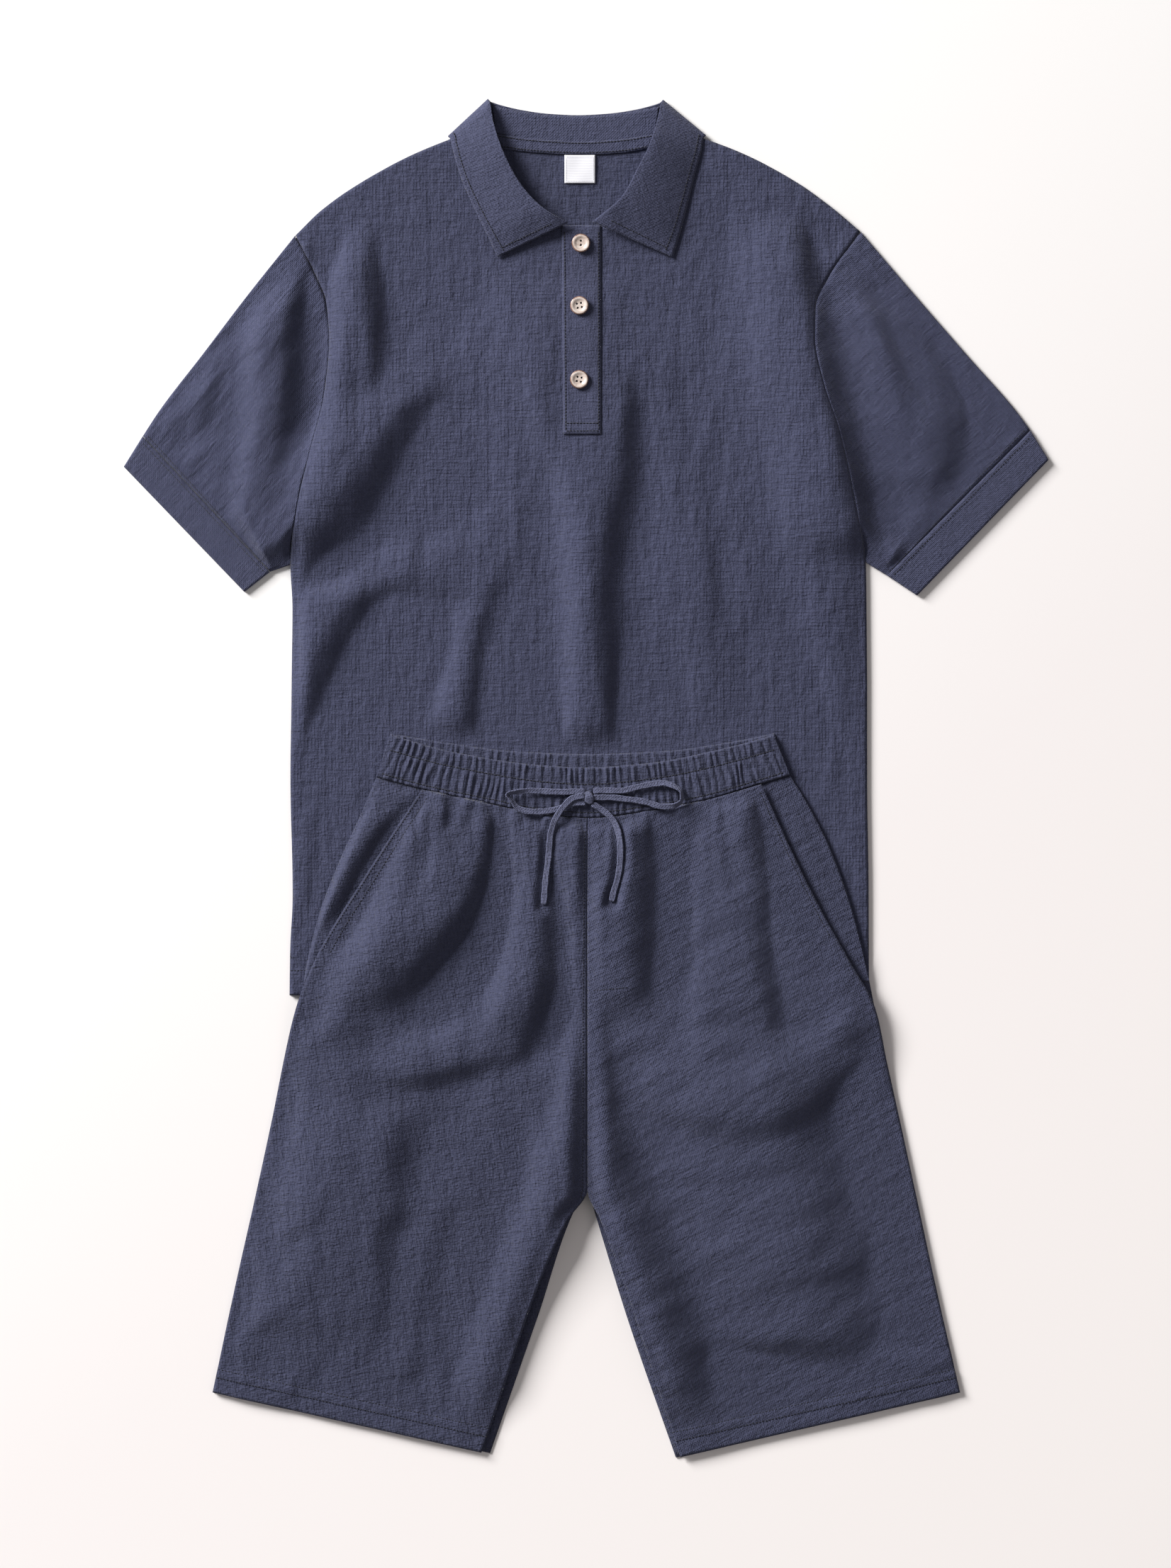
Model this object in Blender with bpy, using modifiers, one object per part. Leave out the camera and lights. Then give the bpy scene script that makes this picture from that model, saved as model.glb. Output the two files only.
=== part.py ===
"""Short-sleeve linen shirt and drawstring shorts, laid flat, the shorts over the shirt's hem.

+X is the viewer's right, +Y runs from the leg hems to the collar and +Z is up from the floor. The
origin is on the floor, in the middle of the box that the set fills. Left and right are the viewer's.
All sizes and tables are in millimetres, and points become metres when a mesh is made.

Every cloth piece is an open surface, a patch between four edges or a flat tube, whose height is a
function of where it lies, and Solidify gives it its wall.
"""

import math

import bmesh
import bpy
import numpy as np

MM = 0.001

# Cloth
WALL = 1.2           # thickness of one layer of the double gauze
TRIM_WALL = 1.0      # placket, neck tape and label
SEAM_GAP = 0.35      # between pieces that are side by side at a seam
LAYER_GAP = 0.4      # between pieces that lie on each other
PLY = WALL + LAYER_GAP
SHIRT_STACK = 2 * PLY

# Shirt
HEM_Y = -199.5
UNDERARM_Y = 195.0
CHEST_PUFF = 4.5     # how far the front stands off the back at mid chest
SLEEVE_THICKNESS = 3.4
SLEEVE_PUFF = 5.0
CUFF_THICKNESS = 4.2

# Placket, buttons and label
PLACKET_LEFT = -22.1
PLACKET_RIGHT = 13.9
PLACKET_TOP = 506.0
PLACKET_BOTTOM = 314.0
BUTTON_DIAMETER = 16.9
BUTTON_THICKNESS = 3.0
BUTTON_HOLE = 1.9
BUTTON_GAP = 0.1         # added to the layer gap under a button
LABEL_WIDTH = 28.0
LABEL_HEIGHT = 25.7

# Shorts
WAIST_SEAM_RISE = 2.0    # the gathered cloth stands up to the waistband
POCKET_TUCK = 10.0       # width of pocket facing under the front
FRONT_GATHERS = 62
BACK_GATHERS = 50
GATHER_HEIGHT = 2.2
BACK_GATHER_HEIGHT = 1.6
BAND_WALL = 1.4

# Drawstring, a flat tape
TAPE_WIDTH = 5.6
TAPE_THICKNESS = 1.8
KNOT_SIZE = (7.6, 13.0, 5.6)
KNOT_SINK = 0.9          # the knot settles between the gathers
TAIL_LIFT = 2.6          # the tails lie on the folds of the fronts

# Outline tables. Columns: x, y.
SHOULDER_LEFT = ((-266.0, 497.0), (-243.4, 519.2), (-206.4, 545.2), (-158.3, 571.0), (-128.0, 583.6))
SHOULDER_RIGHT = ((112.5, 584.0), (145.9, 571.0), (194.0, 545.0), (229.8, 519.0), (251.5, 500.5))
NECK_POINT_LEFT = (-93.0, 596.5)
NECK_POINT_RIGHT = (73.0, 596.0)
FRONT_NECK = ((-79.0, 568.0), (-62.0, 541.0), (-44.0, 520.0), (-22.0, 506.5), (14.0, 504.5), (21.0, 510.0),
              (39.0, 532.0), (51.0, 553.0), (62.0, 575.0))
BACK_NECK = ((-78.0, 586.5), (-50.0, 582.0), (-3.0, 580.0), (36.0, 582.6), (60.0, 587.0))
SHIRT_SIDE_LEFT = ((-266.0, 497.0), (-248.2, 461.2), (-238.3, 436.3), (-235.0, 400.0), (-240.0, 350.0),
                   (-252.0, 300.0), (-264.5, 245.0), (-270.6, UNDERARM_Y), (-268.6, 154.0), (-269.4, 76.0),
                   (-270.7, -2.0), (-268.5, -105.0), (-271.0, -160.0), (-271.5, HEM_Y))
SHIRT_SIDE_RIGHT = ((251.5, 500.5), (222.0, 458.7), (209.6, 428.8), (209.0, 400.0), (217.0, 360.0),
                    (231.5, 317.0), (248.5, 240.0), (256.5, UNDERARM_Y), (257.1, 154.0), (257.7, 76.0),
                    (257.7, -2.0), (259.0, -105.0), (259.2, -160.0), (259.5, HEM_Y))
SHIRT_HEM = ((-271.5, HEM_Y), (-120.0, HEM_Y - 1.0), (80.0, HEM_Y - 0.5), (259.5, HEM_Y))

# Shares at which the shirt's rows lie, above and below the underarm. The sleeve shares the upper ones.
SHIRT_ROWS_TO_UNDERARM = np.linspace(0.0, 1.0, 12)
SHIRT_ROWS_BELOW = np.array((0.14, 0.27, 0.4, 0.52, 0.64, 0.78, 0.9, 1.0))

OVERARM_LEFT = ((-266.6, 497.6), (-311.0, 441.7), (-351.3, 388.4), (-391.0, 336.4), (-406.1, 313.2))
OVERARM_RIGHT = ((252.2, 501.0), (302.6, 441.7), (348.7, 388.4), (394.2, 336.4), (407.3, 318.6))
CUFF_SEAM_LEFT = ((-406.1, 313.2), (-289.3, 188.8))
CUFF_SEAM_RIGHT = ((407.3, 318.6), (275.5, 185.6))
CUFF_EDGE_LEFT = ((-423.5, 285.1), (-312.9, 170.2))
CUFF_EDGE_RIGHT = ((424.2, 291.5), (303.6, 166.9))

# Collar fall, from the left front end round the back to the right front end.
# Columns: roll_x, roll_y, edge_x, edge_y, face (1 on the front, 0 behind the back, 0.5 at the turn).
COLLAR_FALL = (
    (-16.5, 507.8, -81.0, 477.1, 1.0),
    (-38.9, 520.8, -91.5, 499.0, 1.0),
    (-56.8, 538.7, -103.0, 523.0, 1.0),
    (-72.5, 565.6, -114.5, 550.0, 1.0),
    (-83.7, 596.9, -122.0, 576.0, 1.0),
    (-88.0, 619.0, -124.2, 585.2, 1.0),
    (-89.6, 622.2, -126.4, 587.9, 0.5),
    (-87.0, 619.6, -123.0, 584.8, 0.0),
    (-60.0, 612.3, -92.0, 562.0, 0.0),
    (-33.0, 608.6, -46.0, 547.0, 0.0),
    (-7.6, 607.4, -7.6, 542.0, 0.0),
    (18.0, 608.6, 30.0, 547.0, 0.0),
    (45.0, 612.3, 76.0, 563.0, 0.0),
    (68.0, 618.8, 106.5, 585.6, 0.0),
    (70.7, 621.4, 110.1, 588.7, 0.5),
    (69.0, 618.2, 108.0, 586.0, 1.0),
    (64.1, 596.9, 105.5, 574.0, 1.0),
    (57.3, 576.7, 99.0, 550.0, 1.0),
    (46.2, 554.4, 93.0, 525.0, 1.0),
    (33.0, 531.0, 86.5, 500.0, 1.0),
    (5.9, 508.5, 79.8, 476.5, 1.0),
)
FALL_COLUMNS = np.array((0.0, 0.05, 0.3, 0.65, 1.0))
STAND_TOP = ((-82.0, 612.4), (-60.0, 607.7), (-33.0, 604.4), (-7.6, 603.2), (18.0, 604.4), (45.0, 607.7),
             (63.5, 612.0))
STAND_FOOT = ((-82.0, 590.6), (-78.0, 588.2), (-50.0, 583.2), (-3.0, 581.0), (36.0, 583.8), (60.0, 588.6),
              (63.5, 590.2))
TAPE_TOP = ((-82.0, 590.0), (-50.0, 585.6), (-3.0, 583.2), (36.0, 585.8), (63.0, 590.4))
TAPE_FOOT = ((-76.0, 576.2), (-50.0, 573.2), (-3.0, 570.8), (36.0, 573.0), (57.0, 576.6))
LABEL_CENTRE = (-5.5, 557.6)

# Buttons. Columns: x, y, holes, turn (degrees that the holes are turned from the X axis).
BUTTONS = ((-4.5, 489.5, 2, 90.0), (-5.9, 432.0, 4, 12.0), (-6.0, 363.9, 4, -10.0))
HOLE_SPACING = 1.9

# Side edges of the front beside the placket and the collar
FRONT_LEFT_EDGE = -240.0
FRONT_RIGHT_EDGE = 212.0

# Largest folds of the shirt front. Columns: x0, y0, x1, y1, half_width, height.
FRONT_FOLDS = (
    (-205.0, 470.0, -198.0, 345.0, 20.0, -4.0),
    (-176.0, 455.0, -160.0, 300.0, 20.0, 4.5),
    (-196.0, 350.0, -178.0, 215.0, 20.0, -4.0),
    (-120.0, 400.0, -112.0, 190.0, 22.0, 3.5),
    (36.0, 400.0, 34.0, 205.0, 16.0, -4.5),
    (62.0, 430.0, 66.0, 170.0, 20.0, 4.5),
    (24.0, 240.0, 12.0, 70.0, 15.0, -4.0),
    (-10.0, 300.0, -12.0, 70.0, 15.0, 4.5),
    (-102.0, 190.0, -100.0, 70.0, 18.0, -3.5),
    (-66.0, 260.0, -58.0, 70.0, 20.0, 3.0),
    (120.0, 430.0, 132.0, 120.0, 24.0, 4.0),
    (178.0, 470.0, 168.0, 250.0, 20.0, -4.0),
    (206.0, 330.0, 196.0, 90.0, 22.0, 3.5),
    (-222.0, 250.0, -214.0, 90.0, 22.0, 3.0),
)
SLEEVE_FOLDS_LEFT = (
    (-262.0, 440.0, -330.0, 350.0, 17.0, 3.5),
    (-252.0, 380.0, -318.0, 290.0, 16.0, -3.0),
    (-262.0, 320.0, -330.0, 250.0, 16.0, 3.5),
    (-300.0, 430.0, -372.0, 330.0, 15.0, -2.5),
)
SLEEVE_FOLDS_RIGHT = (
    (240.0, 450.0, 316.0, 352.0, 17.0, 3.5),
    (228.0, 400.0, 300.0, 300.0, 16.0, -3.0),
    (242.0, 330.0, 316.0, 255.0, 16.0, 3.5),
    (286.0, 440.0, 368.0, 330.0, 15.0, -2.5),
)

# Shorts
BAND_FRONT_TOP = ((-178.7, 39.2), (-120.5, 23.3), (-37.0, 11.1), (1.4, 9.4), (53.6, 12.9), (133.7, 28.6),
                  (172.0, 39.2))
BAND_BACK_TOP = ((-179.2, 40.2), (-120.5, 31.0), (-68.3, 24.4), (1.4, 21.6), (71.0, 24.4), (133.7, 32.8),
                 (172.5, 40.6))
BAND_FOOT = ((-191.9, 0.7), (-148.4, -10.8), (-96.1, -21.9), (-33.5, -34.1), (1.4, -36.6), (71.0, -27.9),
             (105.8, -21.2), (158.0, -6.3), (186.9, 2.4))
HIP_LEFT = ((-191.9, 0.7), (-207.6, -37.6), (-225.0, -75.9), (-242.4, -121.2), (-254.6, -166.4),
            (-259.8, -194.3))
HIP_RIGHT = ((186.9, 2.4), (200.8, -20.2), (220.7, -58.5), (238.2, -103.7), (250.3, -145.5),
             (259.8, -187.3))
POCKET_LEFT = ((-150.1, -9.8), (-202.0, -90.0), (-246.0, -163.0))
POCKET_RIGHT = ((160.5, -5.9), (192.5, -75.9), (217.0, -124.7), (243.0, -171.0))
LEG_SIDE_LEFT = ((-264.9, -209.6), (-277.2, -261.6), (-287.6, -313.6), (-304.5, -391.6), (-322.1, -469.6),
                 (-342.0, -563.5))
LEG_SIDE_RIGHT = ((264.2, -209.6), (275.9, -261.6), (287.6, -313.6), (304.5, -391.6), (321.4, -469.6),
                  (342.9, -563.6))
CENTRE_X = 1.4
CROTCH_Y = -377.0
INSEAM_FRONT_LEFT = ((-17.4, -406.0), (-95.8, -618.6))
INSEAM_FRONT_RIGHT = ((14.0, -406.0), (86.5, -622.8))
INSEAM_BACK_LEFT = ((-8.1, -391.6), (-44.5, -495.6), (-87.8, -619.5))
INSEAM_BACK_RIGHT = ((6.0, -391.6), (38.0, -495.6), (82.5, -623.5))
SHORTS_ROWS = np.array((0.0, 0.035, 0.08, 0.14, 0.21, 0.275, 0.305, 0.33, 0.355, 0.385, 0.44, 0.5, 0.56, 0.6,
                        0.64, 0.7, 0.77, 0.84, 0.91, 0.96, 1.0))
LEG_COLUMNS = np.array((0.0, 0.06, 0.13, 0.24, 0.34, 0.44, 0.54, 0.64, 0.74, 0.84, 0.93, 1.0))

# Largest folds of the shorts' fronts. Columns: x0, y0, x1, y1, half_width, height.
SHORTS_FOLDS = (
    (-120.0, -30.0, -128.0, -190.0, 13.0, 3.0),
    (-84.0, -32.0, -92.0, -230.0, 13.0, 3.2),
    (-48.0, -40.0, -60.0, -200.0, 12.0, 2.8),
    (60.0, -36.0, 66.0, -210.0, 13.0, 3.0),
    (96.0, -30.0, 108.0, -240.0, 13.0, 3.2),
    (132.0, -20.0, 146.0, -190.0, 12.0, 2.8),
    (-150.0, -150.0, -190.0, -420.0, 24.0, 4.0),
    (-130.0, -160.0, -40.0, -300.0, 20.0, -3.0),
    (-40.0, -330.0, -120.0, -470.0, 20.0, 4.5),
    (-220.0, -260.0, -262.0, -520.0, 26.0, 3.2),
    (-140.0, -430.0, -190.0, -590.0, 24.0, 3.0),
    (50.0, -300.0, 120.0, -440.0, 20.0, 4.0),
    (150.0, -200.0, 190.0, -420.0, 24.0, 3.6),
    (210.0, -300.0, 262.0, -520.0, 26.0, 3.2),
    (120.0, -470.0, 240.0, -500.0, 22.0, 2.6),
    (130.0, -560.0, 240.0, -540.0, 20.0, 2.2),
)

# Drawstring routes. Columns: x, y, lift (how far the tape passes over another strand).
LOOP_LEFT = (
    (-0.6, -13.0, 0.0), (-9.7, -12.7, 0.0), (-20.0, -13.2, 0.0), (-35.6, -12.7, 0.0), (-48.0, -12.0, 0.0),
    (-59.4, -12.7, 0.0), (-68.8, -14.0, 0.0), (-71.9, -15.8, 0.0), (-67.7, -20.7, 0.0), (-62.5, -27.5, 0.0),
    (-53.2, -30.9, 0.0), (-42.8, -31.3, 0.0), (-32.4, -30.1, 0.0), (-20.0, -27.0, 0.0), (-9.7, -23.4, 0.0),
    (-0.6, -22.8, 0.0),
)
LOOP_RIGHT = (
    (6.6, -12.0, 0.0), (17.3, -11.8, 0.0), (31.8, -12.0, 0.0), (47.4, -8.6, 0.0), (62.9, -5.7, 0.0),
    (70.9, -5.0, 0.0), (80.0, -7.6, 0.0), (87.5, -14.0, 0.0), (87.6, -20.0, 0.0), (81.0, -25.5, 0.0),
    (70.9, -26.5, 0.0), (52.5, -21.8, 0.0), (37.0, -19.7, 0.0), (21.4, -18.2, 0.0), (7.1, -18.2, 0.0),
)
TAIL_LEFT = (
    (-1.3, -16.2, 2.2), (-11.7, -18.7, 2.2), (-19.0, -24.9, 2.2), (-25.2, -33.2, 2.2), (-27.6, -37.4, 2.2),
    (-29.9, -42.5, 1.0), (-32.4, -52.9, 0.0), (-34.0, -71.6, 0.0), (-36.6, -92.3, 0.0), (-38.5, -116.1, 0.0),
)
TAIL_RIGHT = (
    (5.9, -23.9, 0.0), (13.6, -28.6, 0.0), (20.4, -33.8, 0.0), (26.6, -41.5, 0.0), (30.3, -52.9, 0.0),
    (31.6, -65.3, 0.0), (31.0, -79.9, 0.0), (28.7, -93.3, 0.0), (25.1, -105.8, 0.0), (23.5, -113.0, 0.0),
)
KNOT_CENTRE = (2.8, -18.3)

CLOTH_BLUE = "#45465C"
BUTTON_SHELL = "#C7B3AB"
LABEL_WHITE = "#F0F0F5"


# Scene and materials

def clear_scene():
    """Remove what a new file holds, so that only the set is left."""
    for thing in list(bpy.data.objects):
        bpy.data.objects.remove(thing, do_unlink=True)


def new_collection(name):
    collection = bpy.data.collections.new(name)
    bpy.context.scene.collection.children.link(collection)
    return collection


def linear(hex_colour):
    """Turn an sRGB hex colour to the linear values that a shader takes."""
    channels = [int(hex_colour[i:i + 2], 16) / 255 for i in (1, 3, 5)]
    return [c / 12.92 if c <= 0.04045 else ((c + 0.055) / 1.055) ** 2.4 for c in channels] + [1.0]


def finish_object(name, mesh, colour, roughness, collection):
    """Put a mesh into an object with its own Principled material."""
    thing = bpy.data.objects.new(name, mesh)
    material = bpy.data.materials.new(name)
    material.use_nodes = True
    shader = material.node_tree.nodes["Principled BSDF"]
    shader.inputs["Base Color"].default_value = linear(colour)
    shader.inputs["Roughness"].default_value = roughness
    shader.inputs["Metallic"].default_value = 0.0
    mesh.materials.append(material)
    collection.objects.link(thing)
    return thing


# Curves and patches

def ease(t):
    """Smooth step from 0 at t = 0 to 1 at t = 1."""
    t = np.clip(t, 0.0, 1.0)
    return t * t * (3.0 - 2.0 * t)


def smooth_through(knots, values, at):
    """Read a monotone cubic curve through (knot, value) pairs: it never swings past its points."""
    knots = np.asarray(knots, float)
    values = np.asarray(values, float)
    step = np.diff(knots)
    slope = np.diff(values) / step
    tangent = np.empty_like(values)
    tangent[0], tangent[-1] = slope[0], slope[-1]
    before, after = slope[:-1], slope[1:]
    same_way = before * after > 0
    weight_1 = 2 * step[1:] + step[:-1]
    weight_2 = step[1:] + 2 * step[:-1]
    safe_before = np.where(same_way, before, 1.0)
    safe_after = np.where(same_way, after, 1.0)
    mean = (weight_1 + weight_2) / (weight_1 / safe_before + weight_2 / safe_after)
    tangent[1:-1] = np.where(same_way, mean, 0.0)
    at = np.asarray(at, float)
    k = np.clip(np.searchsorted(knots, at, side="right") - 1, 0, len(step) - 1)
    h = step[k]
    t = (at - knots[k]) / h
    return ((1 + 2 * t) * (1 - t) ** 2 * values[k] + t * (1 - t) ** 2 * h * tangent[k]
            + t * t * (3 - 2 * t) * values[k + 1] + t * t * (t - 1) * h * tangent[k + 1])


def edge(points, along="length"):
    """A curve through points, read by its share from 0 to 1, measured along x, y or its length."""
    points = np.asarray(points, float)
    if along == "x":
        travelled = np.abs(points[:, 0] - points[0, 0])
    elif along == "y":
        travelled = np.abs(points[:, 1] - points[0, 1])
    else:
        travelled = np.concatenate(([0.0], np.cumsum(np.hypot(*np.diff(points, axis=0).T))))
    share = travelled / travelled[-1]

    def read(at):
        return np.stack([smooth_through(share, points[:, k], at) for k in (0, 1)], axis=-1)
    return read


def shares_along(points, axis):
    """The share along an edge, from 0 to 1 on one axis, at which each of its points lies."""
    values = np.asarray(points, float)[:, axis]
    return (values - values[0]) / (values[-1] - values[0])


def patch(top, foot, left, right, across, down):
    """Blend four edges into a sheet of points, rows from top to foot and columns from left to right."""
    u = across[None, :, None]
    v = down[:, None, None]
    t, f = top(across)[None], foot(across)[None]
    l, r = left(down)[:, None], right(down)[:, None]
    corners = ((1 - u) * (1 - v) * t[:, :1] + u * (1 - v) * t[:, -1:]
               + (1 - u) * v * f[:, :1] + u * v * f[:, -1:])
    return (1 - v) * t + v * f + (1 - u) * l + u * r - corners


def straight(start, end):
    return edge((start, end))


def fold_height(x, y, table):
    """Sum of long soft ridges and troughs: a bell across each line, fading in and out along it."""
    total = np.zeros_like(x)
    for x0, y0, x1, y1, half_width, height in table:
        length = math.hypot(x1 - x0, y1 - y0)
        dx, dy = (x1 - x0) / length, (y1 - y0) / length
        share = ((x - x0) * dx + (y - y0) * dy) / length
        off = (x - x0) * dy - (y - y0) * dx
        total += height * np.exp(-(off / half_width) ** 2) * ease(share / 0.3) * ease((1 - share) / 0.3)
    return total


# Meshes

def mesh_from_grid(name, points, ring=False):
    """Skin a grid of points, rows by columns. A ring's last column joins its first."""
    rows, columns = points.shape[:2]
    index = np.arange(rows * columns).reshape(rows, columns)
    right = np.roll(index, -1, axis=1)
    last = columns if ring else columns - 1
    faces = np.stack((index[:-1, :last], index[1:, :last], right[1:, :last], right[:-1, :last]), axis=-1)
    mesh = bpy.data.meshes.new(name)
    mesh.from_pydata((points.reshape(-1, 3) * MM).tolist(), [], faces.reshape(-1, 4).tolist())
    mesh.shade_smooth()
    return mesh


def cloth_sheet(name, plan, under, collection, wall=WALL, colour=CLOTH_BLUE, even=True):
    """A sheet over a plan of points: its underside at the given height, its wall on top."""
    points = np.concatenate((plan, np.broadcast_to(under, plan.shape[:2])[..., None]), axis=-1)
    thing = finish_object(name, mesh_from_grid(name, points), colour, 0.85, collection)
    solid = thing.modifiers.new("cloth wall", "SOLIDIFY")
    solid.thickness = wall * MM
    solid.offset = 1.0
    solid.use_even_offset = even
    return thing


def flat_tube(name, plan, top, thickness, collection, wall=WALL):
    """A tube of cloth pressed flat: the plan's rows are its rings, round at both folded sides."""
    fold = thickness / 2
    out = plan[:, -1] - plan[:, 0]
    out = out / np.linalg.norm(out, axis=1)[:, None]
    near, far = plan[:, 0] + fold * out, plan[:, -1] - fold * out
    inner = plan[:, 1:-1]
    zero = np.zeros(len(plan))

    def at(points, height):
        return np.concatenate((points, np.broadcast_to(height, points.shape[:-1])[..., None]), axis=-1)

    turn = fold * math.sqrt(0.5)
    columns = [at(near, zero)[:, None], at(inner, 0.0), at(far, zero)[:, None]]
    columns += [at(far + turn * out, zero + fold - turn)[:, None], at(far + fold * out, zero + fold)[:, None],
                at(far + turn * out, zero + fold + turn)[:, None], at(far, zero + thickness)[:, None]]
    columns += [at(inner, top)[:, ::-1], at(near, zero + thickness)[:, None]]
    columns += [at(near - turn * out, zero + fold + turn)[:, None],
                at(near - fold * out, zero + fold)[:, None],
                at(near - turn * out, zero + fold - turn)[:, None]]
    ring = np.concatenate(columns, axis=1)[:, ::-1]
    thing = finish_object(name, mesh_from_grid(name, ring, ring=True), CLOTH_BLUE, 0.85, collection)
    solid = thing.modifiers.new("cloth wall", "SOLIDIFY")
    solid.thickness = wall * MM
    solid.offset = -1.0
    solid.use_even_offset = True
    return thing


def swept_tape(name, route, heights, collection, width=TAPE_WIDTH, thickness=TAPE_THICKNESS):
    """A flat tape: a lens-shaped section of eight points carried along a smooth route."""
    route = np.asarray(route, float)
    travelled = np.concatenate(([0.0], np.cumsum(np.hypot(*np.diff(route[:, :2], axis=0).T))))
    at = np.linspace(0.0, travelled[-1], max(8, int(travelled[-1] / (1.6 * width))) + 1)
    middle = np.stack([smooth_through(travelled, route[:, k], at) for k in (0, 1)], axis=-1)
    lift = smooth_through(travelled, route[:, 2], at)
    ahead = np.gradient(middle, axis=0)
    ahead /= np.linalg.norm(ahead, axis=1)[:, None]
    across = np.stack((ahead[:, 1], -ahead[:, 0]), axis=-1)
    turn = np.arange(8) * math.tau / 8
    side = np.cos(turn)[None, :, None] * across[:, None] * width / 2
    rise = np.sin(turn)[None, :] * thickness / 2
    z = (heights(middle[:, 1]) + lift + thickness / 2)[:, None] + rise
    ring = np.concatenate((middle[:, None] + side, z[..., None]), axis=-1)
    mesh = mesh_from_grid(name, ring[:, ::-1], ring=True)
    cap_ends(mesh)
    return finish_object(name, mesh, CLOTH_BLUE, 0.8, collection)


def cap_ends(mesh):
    """Close the open ends of a tube and point its faces outwards."""
    body = bmesh.new()
    body.from_mesh(mesh)
    bmesh.ops.holes_fill(body, edges=[e for e in body.edges if e.is_boundary], sides=0)
    bmesh.ops.recalc_face_normals(body, faces=body.faces)
    body.to_mesh(mesh)
    body.free()
    mesh.shade_smooth()


# Heights of the cloth

def neck_rise(x, y, reach=1.42):
    """The back lies over the turned-down collar behind the neck, and eases to the floor at its reach."""
    off = np.hypot((x + 8.0) / 134.0, (y - 625.0) / 104.0)
    return PLY * ease((reach - off) / 0.36)


def shirt_hem_flat(x, y):
    """0 where the shorts lie on the shirt and 1 clear of them."""
    return ease((y - 62.0) / 60.0)


def placket_flat(x, y):
    """0 under the placket and the buttons and 1 clear of them."""
    beside = np.maximum(PLACKET_LEFT - 6.0 - x, x - PLACKET_RIGHT - 6.0) / 16.0
    below = (PLACKET_BOTTOM - 6.0 - y) / 24.0
    return ease(np.maximum(beside, below))


def collar_flat(x, y):
    """0 under the collar leaves and 1 clear of them."""
    off = np.hypot((x + 4.0) / 168.0, (y - 600.0) / 154.0)
    return ease((off - 1.0) / 0.25)


def side_flat(x, left, right, width=30.0):
    """0 at both side edges and 1 well inside them."""
    return ease((x - left) / width) * ease((right - x) / width)


def chest_crown(x, y, left, right):
    """The front stands off the back in a low crown, flat towards the sides, hem and shoulders."""
    upright = ease((y - 62.0) / 120.0) * ease((465.0 - y) / 100.0)
    return CHEST_PUFF * side_flat(x, left, right, 110.0) * upright


def shirt_front_under(x, y, left, right):
    """Underside of the front: above the back, with the crown and the folds where nothing lies on it."""
    clear = shirt_hem_flat(x, y) * placket_flat(x, y) * collar_flat(x, y) * side_flat(x, left, right)
    lift = chest_crown(x, y, left, right) + clear * fold_height(x, y, FRONT_FOLDS)
    return neck_rise(x, y, 1.54) + PLY + np.maximum(lift, 0.0)


def shirt_front_top(x, y):
    """Top of the front where the placket and the collar leaves lie on it."""
    return shirt_front_under(x, y, FRONT_LEFT_EDGE, FRONT_RIGHT_EDGE) + WALL


def shorts_base(y):
    """The shorts lie on both layers of the shirt, and come down to the floor past its hem."""
    return SHIRT_STACK * ease((y - HEM_Y + 44.0) / 36.0)


def shorts_front_under(x, y, share_across, share_down):
    """Underside of a front: over the back, lifted over the pocket facing and up to the waistband."""
    pocket = PLY * (1.0 - ease((share_across - 0.13) / 0.2)) * ease((y + 246.0) / 36.0)
    waist = WAIST_SEAM_RISE * (1.0 - ease(share_down / 0.1))
    inside = ease(share_across / 0.13) * ease((1.0 - share_across) / 0.12)
    clear = inside * ease(share_down / 0.06) * ease((1.0 - share_down) / 0.06)
    lift = np.maximum(2.2 * clear + clear * fold_height(x, y, SHORTS_FOLDS), 0.0)
    return shorts_base(y) + PLY + np.maximum(pocket, waist) + lift


# Shirt

FRONT_CONTOUR = (SHOULDER_LEFT + (NECK_POINT_LEFT,) + FRONT_NECK + (NECK_POINT_RIGHT,) + SHOULDER_RIGHT)
BACK_CONTOUR = (SHOULDER_LEFT + (NECK_POINT_LEFT,) + BACK_NECK + (NECK_POINT_RIGHT,) + SHOULDER_RIGHT)
UNDERARM_SHARE = (SHIRT_SIDE_LEFT[0][1] - UNDERARM_Y) / (SHIRT_SIDE_LEFT[0][1] - HEM_Y)
SHIRT_ROWS = np.concatenate((SHIRT_ROWS_TO_UNDERARM * UNDERARM_SHARE,
                             UNDERARM_SHARE + SHIRT_ROWS_BELOW * (1.0 - UNDERARM_SHARE)))


def body_plan(contour, extra_columns, rows):
    """Front or back of the shirt between its shoulders and neck, hem and sides."""
    columns = np.union1d(np.round(shares_along(contour, 0), 4), extra_columns)
    return patch(edge(contour, "x"), edge(SHIRT_HEM, "x"), edge(SHIRT_SIDE_LEFT, "y"),
                 edge(SHIRT_SIDE_RIGHT, "y"), columns, rows)


def shirt_body(collection):
    back = body_plan(BACK_CONTOUR, (), np.union1d(SHIRT_ROWS[:13], SHIRT_ROWS[[15, -1]]))
    cloth_sheet("shirt_back", back, neck_rise(back[..., 0], back[..., 1]), collection)
    front_columns = (0.02, 0.16, 0.245, 0.41, 0.455, 0.505, 0.575, 0.7, 0.8, 0.98)
    front = body_plan(FRONT_CONTOUR, front_columns, SHIRT_ROWS)
    x, y = front[..., 0], front[..., 1]
    under = shirt_front_under(x, y, x[:, :1], x[:, -1:])
    cloth_sheet("shirt_front", front, under, collection)


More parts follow.
